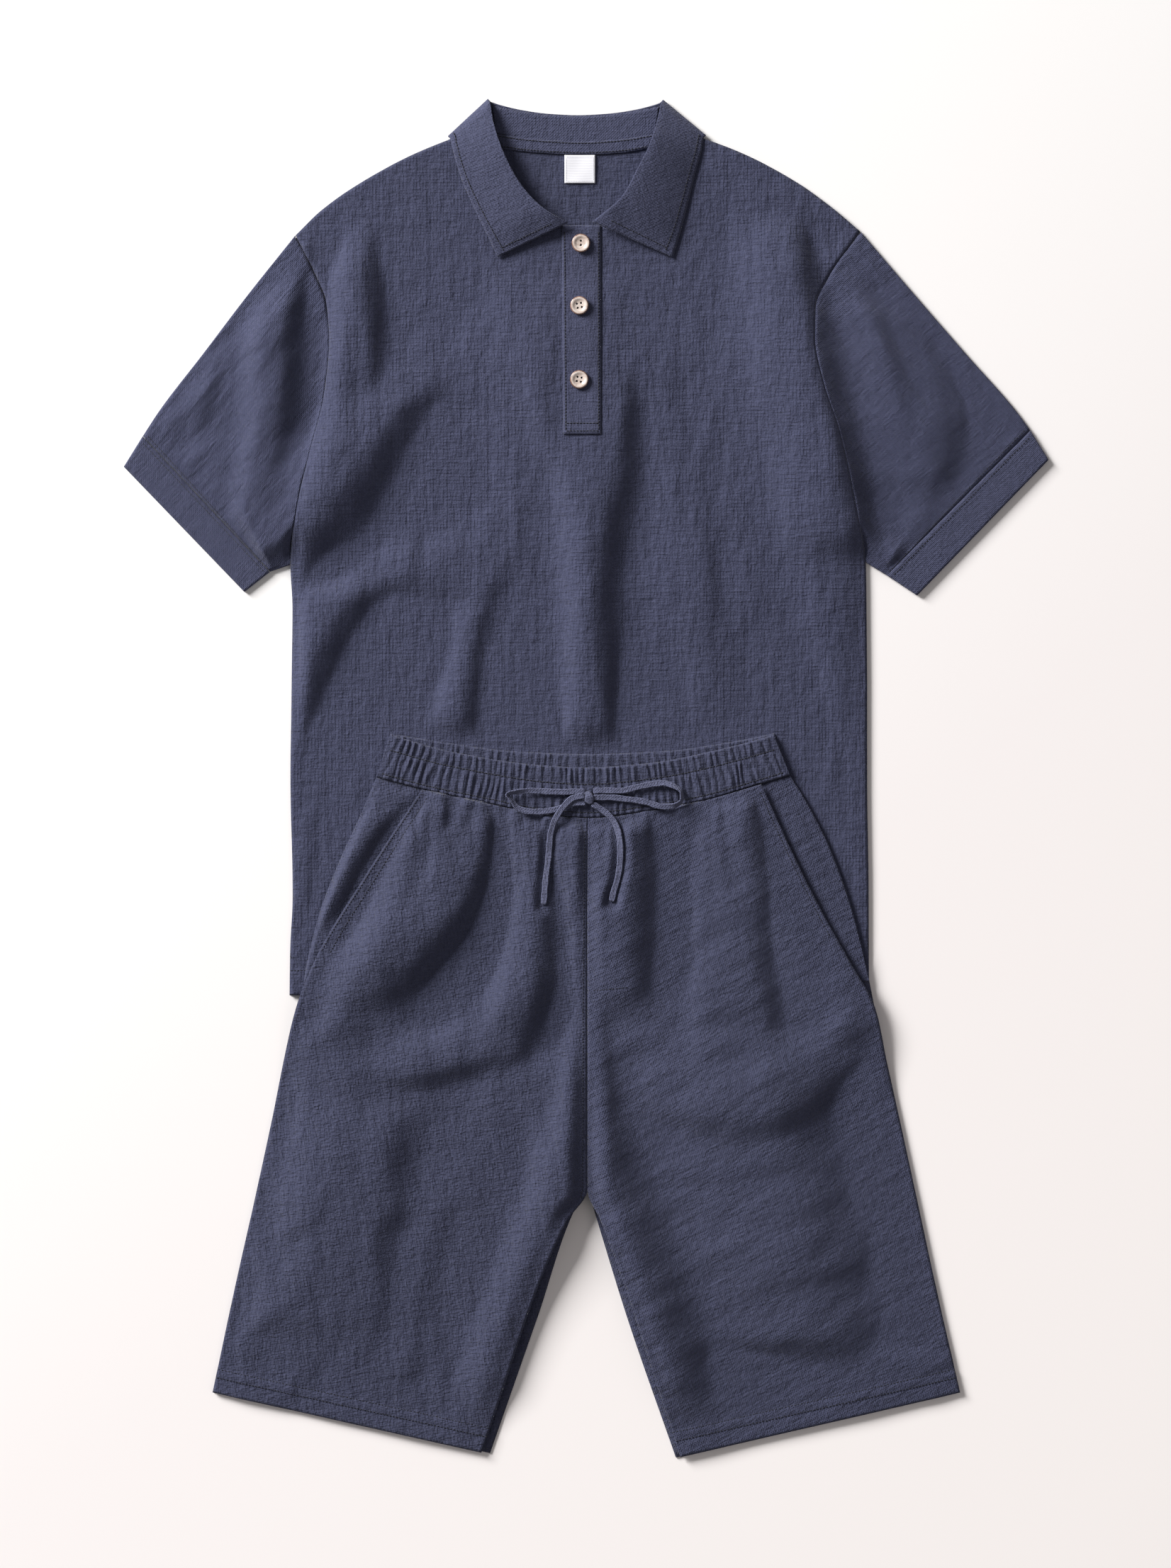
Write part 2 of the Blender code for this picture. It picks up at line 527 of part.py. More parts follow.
def sleeve(side, collection):
    """Sleeve and its turned hem: two flat tubes, from the armhole to the seam and on to the opening."""
    left = side == "left"
    out = -1.0 if left else 1.0
    body_side = edge(SHIRT_SIDE_LEFT if left else SHIRT_SIDE_RIGHT, "y")
    gap = np.array((1.4 * out * SEAM_GAP, 0.0))
    shares = SHIRT_ROWS_TO_UNDERARM * UNDERARM_SHARE
    overarm = edge(OVERARM_LEFT if left else OVERARM_RIGHT)
    seam = CUFF_SEAM_LEFT if left else CUFF_SEAM_RIGHT
    end = CUFF_EDGE_LEFT if left else CUFF_EDGE_RIGHT
    across = SHIRT_ROWS_TO_UNDERARM
    rows = np.array((0.0, 0.12, 0.27, 0.43, 0.6, 0.77, 0.9, 1.0))
    armhole = body_side(shares) + gap

    def armhole_edge(at):
        return np.stack([np.interp(at, across, armhole[:, k]) for k in (0, 1)], axis=-1)

    def overarm_edge(at):
        line = overarm(at)
        return line + (1 - at)[:, None] * (armhole[0] - line[0])

    plan = patch(armhole_edge, straight(*seam), overarm_edge, straight(armhole[-1], seam[1]), across, rows)
    if not left:
        plan = plan[:, ::-1]
    x, y = plan[:, 1:-1, 0], plan[:, 1:-1, 1]
    inner = across[1:-1] if left else 1 - across[::-1][1:-1]
    clear = ease(inner / 0.15) * ease((1 - inner) / 0.15)
    clear = clear[None] * (ease(rows / 0.15) * ease((1 - rows) / 0.12))[:, None]
    table = SLEEVE_FOLDS_LEFT if left else SLEEVE_FOLDS_RIGHT
    lift = np.maximum(clear * (SLEEVE_PUFF + fold_height(x, y, table)), 0.0)
    flat_tube("sleeve_" + side, plan, SLEEVE_THICKNESS + lift, SLEEVE_THICKNESS, collection)
    cuff(side, seam, end, collection)


def cuff(side, seam, end, collection):
    """Turned hem of a sleeve, a flat tube with a slightly thicker edge."""
    seam, end = np.array(seam), np.array(end)
    away = (end - seam) / np.linalg.norm(end - seam, axis=1)[:, None]
    start = seam + SEAM_GAP * away
    across, rows = np.linspace(0.0, 1.0, 6), np.array((0.0, 0.5, 1.0))
    plan = patch(straight(*start), straight(*end), straight(start[0], end[0]), straight(start[1], end[1]),
                 across, rows)
    if side == "right":
        plan = plan[:, ::-1]
    flat_tube("cuff_" + side, plan, CUFF_THICKNESS, CUFF_THICKNESS, collection)


def collar(collection):
    """Stand behind the neck, and the fall: one strip that turns over the shoulders and lies behind."""
    stand = patch(edge(STAND_TOP, "x"), edge(STAND_FOOT, "x"), straight(STAND_TOP[0], STAND_FOOT[0]),
                  straight(STAND_TOP[-1], STAND_FOOT[-1]), np.linspace(0.0, 1.0, 11),
                  np.array((0.0, 0.5, 1.0)))
    cloth_sheet("collar_stand", stand, PLY, collection)

    table = np.array(COLLAR_FALL)
    roll, tip, face = table[:, None, 0:2], table[:, None, 2:4], table[:, 4:5]
    plan = roll + (tip - roll) * FALL_COLUMNS[None, :, None]
    x, y = plan[..., 0], plan[..., 1]
    over_placket = 2 * (TRIM_WALL + LAYER_GAP) + 0.4
    near = np.maximum(np.maximum(PLACKET_LEFT - x, x - PLACKET_RIGHT), y - PLACKET_TOP - 30.0)
    front_height = shirt_front_top(x, y) + LAYER_GAP + 0.3 + over_placket * ease((26.0 - near) / 22.0)
    curled = (FALL_COLUMNS == 0.0)[None]
    front_height = front_height - 0.4 * curled
    behind = np.where(curled, WALL + 0.9, WALL)
    height = np.where(face == 1.0, front_height, np.where(face == 0.0, behind, 0.5 * front_height))
    cloth_sheet("collar_fall", plan, height, collection, even=False)


def neck_trim(collection):
    """Tape over the back neck seam, and the bare label that hangs from it."""
    level = PLY + WALL + LAYER_GAP
    tape = patch(edge(TAPE_TOP, "x"), edge(TAPE_FOOT, "x"), straight(TAPE_TOP[0], TAPE_FOOT[0]),
                 straight(TAPE_TOP[-1], TAPE_FOOT[-1]), np.linspace(0.0, 1.0, 9), np.array((0.0, 1.0)))
    cloth_sheet("neck_tape", tape, level, collection, TRIM_WALL)
    x, y = LABEL_CENTRE
    half_w, half_h = LABEL_WIDTH / 2, LABEL_HEIGHT / 2
    top = straight((x - half_w, y + half_h), (x + half_w, y + half_h))
    foot = straight((x - half_w, y - half_h), (x + half_w, y - half_h))
    side_l = straight((x - half_w, y + half_h), (x - half_w, y - half_h))
    side_r = straight((x + half_w, y + half_h), (x + half_w, y - half_h))
    label = patch(top, foot, side_l, side_r, np.array((0.0, 0.5, 1.0)), np.array((0.0, 0.5, 1.0)))
    cloth_sheet("label", label, level, collection, TRIM_WALL, LABEL_WHITE)


def placket_strip(name, left, right, top, foot, level, collection):
    """A strip of the placket, made from the front's own heights and moved out by its level."""
    rows = np.linspace(0.0, 1.0, 9)
    plan = patch(straight((left, top), (right, top)), straight((left + 1.4, foot), (right, foot)),
                 straight((left, top), (left + 1.4, foot)), straight((right, top), (right, foot)),
                 np.array((0.0, 0.5, 1.0)), rows)
    cloth_sheet(name, plan, shirt_front_top(plan[..., 0], plan[..., 1]) + level, collection, TRIM_WALL)


def placket(collection):
    first = LAYER_GAP
    second = first + TRIM_WALL + LAYER_GAP
    placket_strip("placket_under", PLACKET_LEFT + 4.0, PLACKET_RIGHT + 2.0, PLACKET_TOP - 4.0,
                  PLACKET_BOTTOM + 4.0, first, collection)
    placket_strip("placket_top", PLACKET_LEFT, PLACKET_RIGHT, PLACKET_TOP, PLACKET_BOTTOM, second, collection)
    return second + TRIM_WALL + LAYER_GAP


def turned_button(name, x, y, z, places, collection, cutters):
    """A dished disc turned from a profile, drilled through at each place."""
    radius = BUTTON_DIAMETER / 2
    profile = ((0.0, 1.9), (radius - 3.4, 1.9), (radius - 2.4, BUTTON_THICKNESS),
               (radius - 0.8, BUTTON_THICKNESS), (radius, 2.2), (radius, 1.0), (radius - 1.2, 0.0),
               (0.0, 0.0))
    mesh = bpy.data.meshes.new(name)
    points = [(r * MM, 0.0, h * MM) for r, h in profile]
    mesh.from_pydata(points, [(i, i + 1) for i in range(len(points) - 1)], [])
    button = finish_object(name, mesh, BUTTON_SHELL, 0.35, collection)
    button.location = (x * MM, y * MM, z * MM)
    turn = button.modifiers.new("turned", "SCREW")
    turn.steps = turn.render_steps = 20
    turn.use_merge_vertices = True
    turn.merge_threshold = 0.0001
    turn.use_smooth_shade = True
    for number, (dx, dy) in enumerate(places, 1):
        bpy.ops.mesh.primitive_cylinder_add(vertices=8, radius=BUTTON_HOLE / 2 * MM,
                                            depth=4 * BUTTON_THICKNESS * MM,
                                            location=((x + dx) * MM, (y + dy) * MM, z * MM))
        drill = bpy.context.object
        drill.name = f"{name}_hole_{number}"
        drill.hide_render = True
        drill.display_type = "WIRE"
        for owner in list(drill.users_collection):
            owner.objects.unlink(drill)
        cutters.objects.link(drill)
        cut = button.modifiers.new(drill.name, "BOOLEAN")
        cut.object = drill
        cut.operation = "DIFFERENCE"
        cut.solver = "EXACT"


def hole_places(holes, turn):
    """Two holes side by side or four in a square, turned by the given degrees."""
    places = ((-1.0, 0.0), (1.0, 0.0))
    if holes == 4:
        places = ((-1.0, -1.0), (1.0, -1.0), (-1.0, 1.0), (1.0, 1.0))
    cosine = HOLE_SPACING * math.cos(math.radians(turn))
    sine = HOLE_SPACING * math.sin(math.radians(turn))
    return [(i * cosine - j * sine, i * sine + j * cosine) for i, j in places]


def buttons(level, collection, cutters):
    for number, (x, y, holes, turn) in enumerate(BUTTONS, 1):
        place_x, place_y = np.array([x]), np.array([y])
        z = float(shirt_front_top(place_x, place_y)[0]) + level + BUTTON_GAP
        turned_button(f"button_{number}", x, y, z, hole_places(holes, turn), collection, cutters)


# Shorts

def under_band(start_x, end_x):
    """The stretch of the waistband's foot between two x values, a seam gap below it."""
    band = edge(BAND_FOOT, "x")
    first, last = BAND_FOOT[0][0], BAND_FOOT[-1][0]

    def read(at):
        x = start_x + (end_x - start_x) * np.asarray(at)
        return band((x - first) / (last - first)) - (0.0, SEAM_GAP)
    return read


def shorts_half(side, collection):
    """Front and back of one leg, the pocket facing between them at the hip."""
    left = side == "left"
    hip = HIP_LEFT if left else HIP_RIGHT
    pocket = POCKET_LEFT if left else POCKET_RIGHT
    leg_side = LEG_SIDE_LEFT if left else LEG_SIDE_RIGHT
    inseam_front = INSEAM_FRONT_LEFT if left else INSEAM_FRONT_RIGHT
    inseam_back = INSEAM_BACK_LEFT if left else INSEAM_BACK_RIGHT
    centre_x = CENTRE_X + (-SEAM_GAP / 2 if left else SEAM_GAP / 2)

    def leg(outer, top_x, inseam, columns):
        top = under_band(*sorted((top_x, centre_x)))
        top_ends = top(np.array((0.0, 1.0)))
        outer_top, centre_top = top_ends if left else top_ends[::-1]
        centre = (tuple(centre_top), (centre_x, -150.0), (centre_x, -290.0), (centre_x, CROTCH_Y))
        outer_edge, inner_edge = edge((tuple(outer_top),) + outer, "y"), edge(centre + inseam, "y")
        if left:
            return patch(top, straight(outer[-1], inseam[-1]), outer_edge, inner_edge, columns, SHORTS_ROWS)
        return patch(top, straight(inseam[-1], outer[-1]), inner_edge, outer_edge, 1 - columns[::-1],
                     SHORTS_ROWS)

    back = leg(hip[1:] + leg_side, hip[0][0], inseam_back, np.linspace(0.0, 1.0, 9))
    cloth_sheet("shorts_back_" + side, back, shorts_base(back[..., 1]), collection)

    front = leg(pocket[1:] + leg_side, pocket[0][0], inseam_front, LEG_COLUMNS)
    share_out = LEG_COLUMNS if left else LEG_COLUMNS[::-1]
    under = shorts_front_under(front[..., 0], front[..., 1], share_out[None], SHORTS_ROWS[:, None])
    cloth_sheet("shorts_front_" + side, front, under, collection)

    tuck = POCKET_TUCK if left else -POCKET_TUCK
    top = under_band(*sorted((hip[0][0], pocket[0][0] + tuck)))
    top_ends = top(np.array((0.0, 1.0)))
    outer_top, inner_top = top_ends if left else top_ends[::-1]
    foot = (hip[-1][0] + 0.5 * tuck, hip[-1][1])
    outer_edge = edge((tuple(outer_top),) + hip[1:], "y")
    inner_edge = edge((tuple(inner_top),) + tuple((px + tuck, py) for px, py in pocket[1:]) + (foot,), "y")
    rows, columns = np.linspace(0.0, 1.0, 10), np.linspace(0.0, 1.0, 4)
    if left:
        facing = patch(top, straight(hip[-1], foot), outer_edge, inner_edge, columns, rows)
    else:
        facing = patch(top, straight(foot, hip[-1]), inner_edge, outer_edge, columns, rows)
    cloth_sheet("pocket_facing_" + side, facing, shorts_base(facing[..., 1]) + PLY, collection)


def gathered_band(name, top, foot, gathers, height, level, rows, collection):
    """Elasticated band: a plain underside, and a top that stands up in uneven upright gathers.

    Each gather is a low point and a high one, set a little to one side, and its height wanders.
    """
    steps = 2 * gathers
    number = np.arange(steps + 1)
    lean = 0.25 * (number % 2) * np.sin(number * 1.7)
    share = (number + lean) / steps
    plan = patch(edge(top, "x"), edge(foot, "x"), straight(top[0], foot[0]), straight(top[-1], foot[-1]),
                 share, rows)
    wave = number % 2
    wander = 0.72 + 0.28 * np.sin(number * 0.37) * np.cos(number * 0.11 + 1.0)
    ends = ease(share / 0.02) * ease((1.0 - share) / 0.02)
    channel = 1.0 - 0.55 * np.exp(-((rows - 0.34) / 0.07) ** 2) - 0.5 * np.exp(-((rows - 0.9) / 0.07) ** 2)
    upper = level + BAND_WALL + height * channel[:, None] * (wave * wander * ends)[None]
    top_points = np.concatenate((plan, upper[..., None]), axis=-1)
    foot_points = np.concatenate((plan[[0, -1]], np.full((2, steps + 1, 1), level)), axis=-1)
    ring = np.concatenate((foot_points[:1], top_points, foot_points[1:]), axis=0)
    mesh = mesh_from_grid(name, np.swapaxes(ring, 0, 1)[::-1], ring=True)
    cap_ends(mesh)
    finish_object(name, mesh, CLOTH_BLUE, 0.85, collection)


def waistband(collection):
    back_level = SHIRT_STACK
    front_level = back_level + BAND_WALL + BACK_GATHER_HEIGHT + LAYER_GAP
    gathered_band("waistband_back", BAND_BACK_TOP, BAND_FOOT, BACK_GATHERS, BACK_GATHER_HEIGHT, back_level,
                  np.array((0.0, 0.16, 0.36, 1.0)), collection)
    gathered_band("waistband_front", BAND_FRONT_TOP, BAND_FOOT, FRONT_GATHERS, GATHER_HEIGHT, front_level,
                  np.array((0.0, 0.34, 0.62, 0.9, 1.0)), collection)
    return front_level + BAND_WALL + GATHER_HEIGHT + LAYER_GAP


def drawstring(level, collection):
    """Knot, two loops and two free tails of a flat tape, on the band and down over the fronts."""
    panel_level = SHIRT_STACK + 2 * PLY + WAIST_SEAM_RISE + TAIL_LIFT

    def on_band(y):
        return np.full_like(y, level)

    def off_band(y):
        return panel_level + (level - panel_level) * ease((y + 66.0) / 28.0)

    swept_tape("drawstring_loop_left", LOOP_LEFT, on_band, collection)
    swept_tape("drawstring_loop_right", LOOP_RIGHT, on_band, collection)
    swept_tape("drawstring_tail_left", TAIL_LEFT, off_band, collection)
    swept_tape("drawstring_tail_right", TAIL_RIGHT, off_band, collection)
    bpy.ops.mesh.primitive_uv_sphere_add(segments=14, ring_count=9, radius=0.5 * MM)
    knot = bpy.context.object
    knot.name = knot.data.name = "drawstring_knot"
    knot.scale = KNOT_SIZE
    knot.location = (KNOT_CENTRE[0] * MM, KNOT_CENTRE[1] * MM, (level - KNOT_SINK + KNOT_SIZE[2] / 2) * MM)
    mesh = knot.data
    bpy.ops.object.transform_apply(location=True, rotation=False, scale=True)
    bpy.data.objects.remove(knot, do_unlink=True)
    mesh.shade_smooth()
    finish_object("drawstring_knot", mesh, CLOTH_BLUE, 0.8, collection)


def main():
    clear_scene()
    collection = new_collection("linen shirt and shorts")
    cutters = new_collection("cutters")
    shirt_body(collection)
    for side in ("left", "right"):
        sleeve(side, collection)
        shorts_half(side, collection)
    collar(collection)
    neck_trim(collection)
    buttons(placket(collection), collection, cutters)
    drawstring(waistband(collection), collection)


main()
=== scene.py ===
"""The look of a short-sleeve linen shirt and drawstring shorts, laid flat, the shorts over its hem.

Tables and lengths are in millimetres, and points become metres when a mesh is made. Cloth is a grid
of points between four edges, with a height worked out for whole arrays at once.
"""
import math

import bmesh
import bpy
import mathutils
import numpy as np
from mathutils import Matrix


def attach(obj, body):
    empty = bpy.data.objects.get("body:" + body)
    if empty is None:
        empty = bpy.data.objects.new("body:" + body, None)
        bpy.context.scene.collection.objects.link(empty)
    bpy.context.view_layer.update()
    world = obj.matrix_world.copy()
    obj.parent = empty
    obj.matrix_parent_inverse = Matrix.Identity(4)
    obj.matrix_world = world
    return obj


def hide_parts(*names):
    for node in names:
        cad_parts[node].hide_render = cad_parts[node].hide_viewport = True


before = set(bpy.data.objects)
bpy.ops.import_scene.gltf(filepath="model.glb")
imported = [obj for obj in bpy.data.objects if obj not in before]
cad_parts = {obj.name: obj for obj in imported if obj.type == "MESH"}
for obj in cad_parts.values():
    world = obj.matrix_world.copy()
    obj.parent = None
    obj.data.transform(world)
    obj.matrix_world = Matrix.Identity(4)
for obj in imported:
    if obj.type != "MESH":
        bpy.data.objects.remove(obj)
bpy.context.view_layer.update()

MM = 0.001
FINE = 1.0     # share of the points along each side of a grid

# Cloth layers, as they lie in the frame
WALL = 1.2
TRIM_WALL = 1.0
LAYER_GAP = 0.4
PLY = WALL + LAYER_GAP
SHIRT_STACK = 2 * PLY
HEM_Y = -199.5
UNDERARM_Y = 195.0
SLEEVE_THICKNESS = 3.4
CUFF_THICKNESS = 4.2
BAND_WALL = 1.4
BACK_GATHER_HEIGHT = 1.6
WAIST_SEAM_RISE = 2.0


# Camera: straight above the set, 0.65 mm of the floor to each pixel of a frame 1652 by 2213

FRAME_WIDTH, FRAME_HEIGHT = 1652, 2213
MM_PER_PIXEL = 0.65
ORIGIN_PIXEL = (826.5, 1097.5)      # where the origin falls in the frame, from its left and its top
LENS, SENSOR = 100.0, 36.0


def make_camera():
    """A camera over the frame's middle, at the height that gives each pixel its size on the floor."""
    data = bpy.data.cameras.new("camera")
    data.lens = LENS
    data.sensor_width = SENSOR
    camera = bpy.data.objects.new("camera", data)
    bpy.context.scene.collection.objects.link(camera)
    distance = FRAME_HEIGHT * MM_PER_PIXEL * LENS / SENSOR
    centre_x = (FRAME_WIDTH / 2 - ORIGIN_PIXEL[0]) * MM_PER_PIXEL
    centre_y = (ORIGIN_PIXEL[1] - FRAME_HEIGHT / 2) * MM_PER_PIXEL
    camera.location = (centre_x * MM, centre_y * MM, distance * MM)
    data.clip_start, data.clip_end = 0.1, 50.0
    bpy.context.scene.camera = camera


make_camera()
bpy.context.scene.view_settings.view_transform = "Standard"      # plain tones, so the board stays white


# Curves, patches and heights

def ease(t):
    """Smooth step from 0 at t = 0 to 1 at t = 1."""
    t = np.clip(t, 0.0, 1.0)
    return t * t * (3.0 - 2.0 * t)


def smooth_through(knots, values, at):
    """Monotone cubic through (knot, value) pairs: harmonic-mean tangents, so it never overshoots."""
    knots, values = np.asarray(knots, float), np.asarray(values, float)
    step = np.diff(knots)
    slope = np.diff(values) / step
    tangent = np.empty_like(values)
    tangent[0], tangent[-1] = slope[0], slope[-1]
    before, after = slope[:-1], slope[1:]
    same_way = before * after > 0
    weight_1, weight_2 = 2 * step[1:] + step[:-1], step[1:] + 2 * step[:-1]
    mean = (weight_1 + weight_2) / (weight_1 / np.where(same_way, before, 1.0)
                                    + weight_2 / np.where(same_way, after, 1.0))
    tangent[1:-1] = np.where(same_way, mean, 0.0)
    at = np.asarray(at, float)
    k = np.clip(np.searchsorted(knots, at, side="right") - 1, 0, len(step) - 1)
    h = step[k]
    t = (at - knots[k]) / h
    return ((1 + 2 * t) * (1 - t) ** 2 * values[k] + t * (1 - t) ** 2 * h * tangent[k]
            + t * t * (3 - 2 * t) * values[k + 1] + t * t * (t - 1) * h * tangent[k + 1])


def edge(points, along="length"):
    """A curve through points, read by its share from 0 to 1, measured along x, y or its length."""
    points = np.asarray(points, float)
    if along == "x":
        travelled = np.abs(points[:, 0] - points[0, 0])
    elif along == "y":
        travelled = np.abs(points[:, 1] - points[0, 1])
    else:
        travelled = np.concatenate(([0.0], np.cumsum(np.hypot(*np.diff(points, axis=0).T))))
    share = travelled / travelled[-1]

    def read(at):
        return np.stack([smooth_through(share, points[:, k], at) for k in (0, 1)], axis=-1)
    return read


def straight(start, end):
    """The line between two points, read by its share."""
    return edge((start, end))


def patch(top, foot, left, right, across, down):
    """Blend four edges: straight blends of each pair of edges, added, less the blend of the corners."""
    u, v = across[None, :, None], down[:, None, None]
    t, f = top(across)[None], foot(across)[None]
    l, r = left(down)[:, None], right(down)[:, None]
    corners = ((1 - u) * (1 - v) * t[:, :1] + u * (1 - v) * t[:, -1:]
               + (1 - u) * v * f[:, :1] + u * v * f[:, -1:])
    return (1 - v) * t + v * f + (1 - u) * l + u * r - corners


def strip_plan(top, foot, across, down):
    """A patch between two lines of points read along x, whose ends are joined by straight lines."""
    return patch(edge(top, "x"), edge(foot, "x"), straight(top[0], foot[0]), straight(top[-1], foot[-1]),
                 across, down)


def shares(count, keep=()):
    """Even shares from 0 to 1, with the named ones among them."""
    even = np.linspace(0.0, 1.0, max(3, int(count * FINE)))
    keep = np.asarray(keep, float)
    if len(keep):
        far = np.abs(even[:, None] - keep[None]).min(axis=1) > 0.3 / len(even)
        even = np.union1d(even[far], keep)
    even[0], even[-1] = 0.0, 1.0
    return even


def off_ends(share, first, last):
    """0 at both ends of a share from 0 to 1, and 1 once it is first and last away from them."""
    return ease(share / first) * ease((1.0 - share) / last)


def off_edges(across, down, sides, ends):
    """0 along the four edges of a grid, and 1 inside. Sides and ends each hold the two distances."""
    return off_ends(across, *sides)[None] * off_ends(down, *ends)[:, None]


STEEPEST = 0.50              # the slope at the middle of a fold whose steepness is 1
CURVE_SLOPE = 1.65           # slope of t times exp((1 - t * t) / 2) at 0, the square root of e
FADE, FADE_SHARE = 30.0, 0.4      # a fold's ends fade over this length, or this share of a short one


def fold_height(along, across, folds, downhill):
    """Soft folds, each a fall to one side between a ridge and a trough, and back up more gently.

    A fold is a table with the columns along, across, half_width, steepness. Its middle line is a smooth
    curve through the first two. With t the distance off that line over the half width, the height is
    t times exp((1 - t * t) / 2), with t beyond 1 taken at half its growth. It fades out over the fold's
    ends. Downhill is 1 or -1, the side to which a fold with a positive steepness falls.
    """
    total = np.zeros_like(along)
    for fold in folds:
        table = np.array(sorted(fold), float)
        place, first, last = table[:, 0], table[0, 0], table[-1, 0]
        inside = np.clip(along, first, last)
        centre = smooth_through(place, table[:, 1], inside)
        lean = (smooth_through(place, table[:, 1], np.minimum(inside + 2.0, last))
                - smooth_through(place, table[:, 1], np.maximum(inside - 2.0, first))) / 4.0
        width = np.interp(inside, place, table[:, 2])
        height = np.interp(inside, place, table[:, 3]) * width * STEEPEST / CURVE_SLOPE
        t = (across - centre) / (width * np.hypot(1.0, lean))
        t = np.clip(t, -1.0, 1.0) + 0.5 * (t - np.clip(t, -1.0, 1.0))
        end = min(FADE, FADE_SHARE * (last - first))
        fade = ease((along - first) / end) * ease((last - along) / end)
        total -= downhill * height * t * np.exp(0.5 - 0.5 * t * t) * fade
    return total


LATTICE = 256                # random values each way, after which a crumple repeats
LATTICE_START = 500.0        # keeps every place on the lattice above 0


def crumple(x, y, width, length, angle, seed):
    """Smooth random heights from -1 to 1: random values on a lattice, eased between its points.

    The lattice is width by length millimetres, its long side turned by angle degrees from +Y.
    """
    turn = math.radians(angle)
    a = (x * math.cos(turn) + y * math.sin(turn)) / width + LATTICE_START
    b = (-x * math.sin(turn) + y * math.cos(turn)) / length + LATTICE_START
    values = np.random.default_rng(seed).uniform(-1.0, 1.0, (LATTICE, LATTICE))
    ia, ib = np.floor(a).astype(int), np.floor(b).astype(int)
    ta, tb = ease(a - ia), ease(b - ib)

    def value(step_a, step_b):
        return values[(ia + step_a) % LATTICE, (ib + step_b) % LATTICE]

    return ((value(0, 0) * (1 - ta) + value(1, 0) * ta) * (1 - tb)
            + (value(0, 1) * (1 - ta) + value(1, 1) * ta) * tb)


SWELL_HEIGHT, SWELL_WIDTH, SWELL_LENGTH = 1.5, 52.0, 120.0


def swells(x, y):
    """Broad low unevenness between the folds."""
    return SWELL_HEIGHT * crumple(x, y, SWELL_WIDTH, SWELL_LENGTH, 0.0, 7)


# The gauze's own creases. Columns: height, width, length, turn (degrees off the grain).
CRINKLE_SIZES = ((0.85, 21.0, 80.0, 0.0), (0.46, 11.0, 40.0, 0.0), (0.42, 15.0, 22.0, 38.0))


def crinkles(x, y, angle, seed):
    """Three sizes of crumple, one on another, the larger two along the grain."""
    return sum(height * crumple(x, y, width, length, angle + turn, seed + number)
               for number, (height, width, length, turn) in enumerate(CRINKLE_SIZES))


# Meshes

def finish_mesh(name, points, faces, uv, material):
    """Put whole arrays of points, faces and grain coordinates into a mesh object at the origin."""
    mesh = bpy.data.meshes.new(name)
    mesh.from_pydata((points * MM).tolist(), [], faces.tolist())
    if uv is not None:
        layer = mesh.uv_layers.new(name="grain")
        corner = np.empty(len(mesh.loops), dtype=np.int32)
        mesh.loops.foreach_get("vertex_index", corner)
        layer.data.foreach_set("uv", (uv[corner] * MM).astype(np.float32).ravel())
    mesh.shade_smooth()
    mesh.materials.append(material)
    thing = bpy.data.objects.new(name, mesh)
    bpy.context.scene.collection.objects.link(thing)
    return thing


def grid_faces(rows, columns, ring=False):
    """Squares between neighbouring points of a grid, closed round each row where it is a ring."""
    index = np.arange(rows * columns).reshape(rows, columns)
    right = np.roll(index, -1, axis=1)
    last = columns if ring else columns - 1
    faces = np.stack((index[:-1, :last], index[1:, :last], right[1:, :last], right[:-1, :last]), axis=-1)
    return faces.reshape(-1, 4)


def grain(plan, angle):
    """Place on the cloth before it was cut: the plan, turned so that the warp runs along V."""
    turn = math.radians(angle)
    x, y = plan[..., 0], plan[..., 1]
    return np.stack((x * math.cos(turn) + y * math.sin(turn),
                     -x * math.sin(turn) + y * math.cos(turn)), axis=-1).reshape(-1, 2)


def add_wall(thing, wall, offset, even=True):
    """Give a surface its wall: outwards from its faces where the offset is 1, inwards where it is -1."""
    solid = thing.modifiers.new("cloth wall", "SOLIDIFY")
    solid.thickness = wall * MM
    solid.offset = offset
    solid.use_even_offset = even
    solid.thickness_clamp = 1.0


def belongs(thing, slot, *nodes):
    """The piece takes the place of CAD nodes, which it hides, and is attached to the root body."""
    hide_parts(*nodes)
    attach(thing, "root")
    return thing


class Sheet:
    """A cloth surface: its shares across and down and the points of its upper face."""

    def __init__(self, thing, across, down, top):
        self.thing, self.across, self.down, self.top = thing, across, down, top

    def at(self, u, v):
        """Points of the upper face at shares u and v, straight between the four nearest."""
        u, v = np.broadcast_arrays(np.asarray(u, float), np.asarray(v, float))
        i = np.clip(np.searchsorted(self.down, v, side="right") - 1, 0, len(self.down) - 2)
        j = np.clip(np.searchsorted(self.across, u, side="right") - 1, 0, len(self.across) - 2)
        tv = ((v - self.down[i]) / (self.down[i + 1] - self.down[i]))[..., None]
        tu = ((u - self.across[j]) / (self.across[j + 1] - self.across[j]))[..., None]
        top = self.top
        return ((top[i, j] * (1 - tu) + top[i, j + 1] * tu) * (1 - tv)
                + (top[i + 1, j] * (1 - tu) + top[i + 1, j + 1] * tu) * tv)


def cloth_sheet(name, plan, under, across, down, material, angle=0.0, wall=WALL, even=True):
    """A sheet over a plan of points: its underside at the given heights, its wall on top."""
    heights = np.broadcast_to(under, plan.shape[:2])
    points = np.concatenate((plan, heights[..., None]), axis=-1)
    thing = finish_mesh(name, points.reshape(-1, 3), grid_faces(*plan.shape[:2]), grain(plan, angle),
                        material)
    add_wall(thing, wall, 1.0, even)
    return Sheet(thing, across, down, points + (0.0, 0.0, wall))


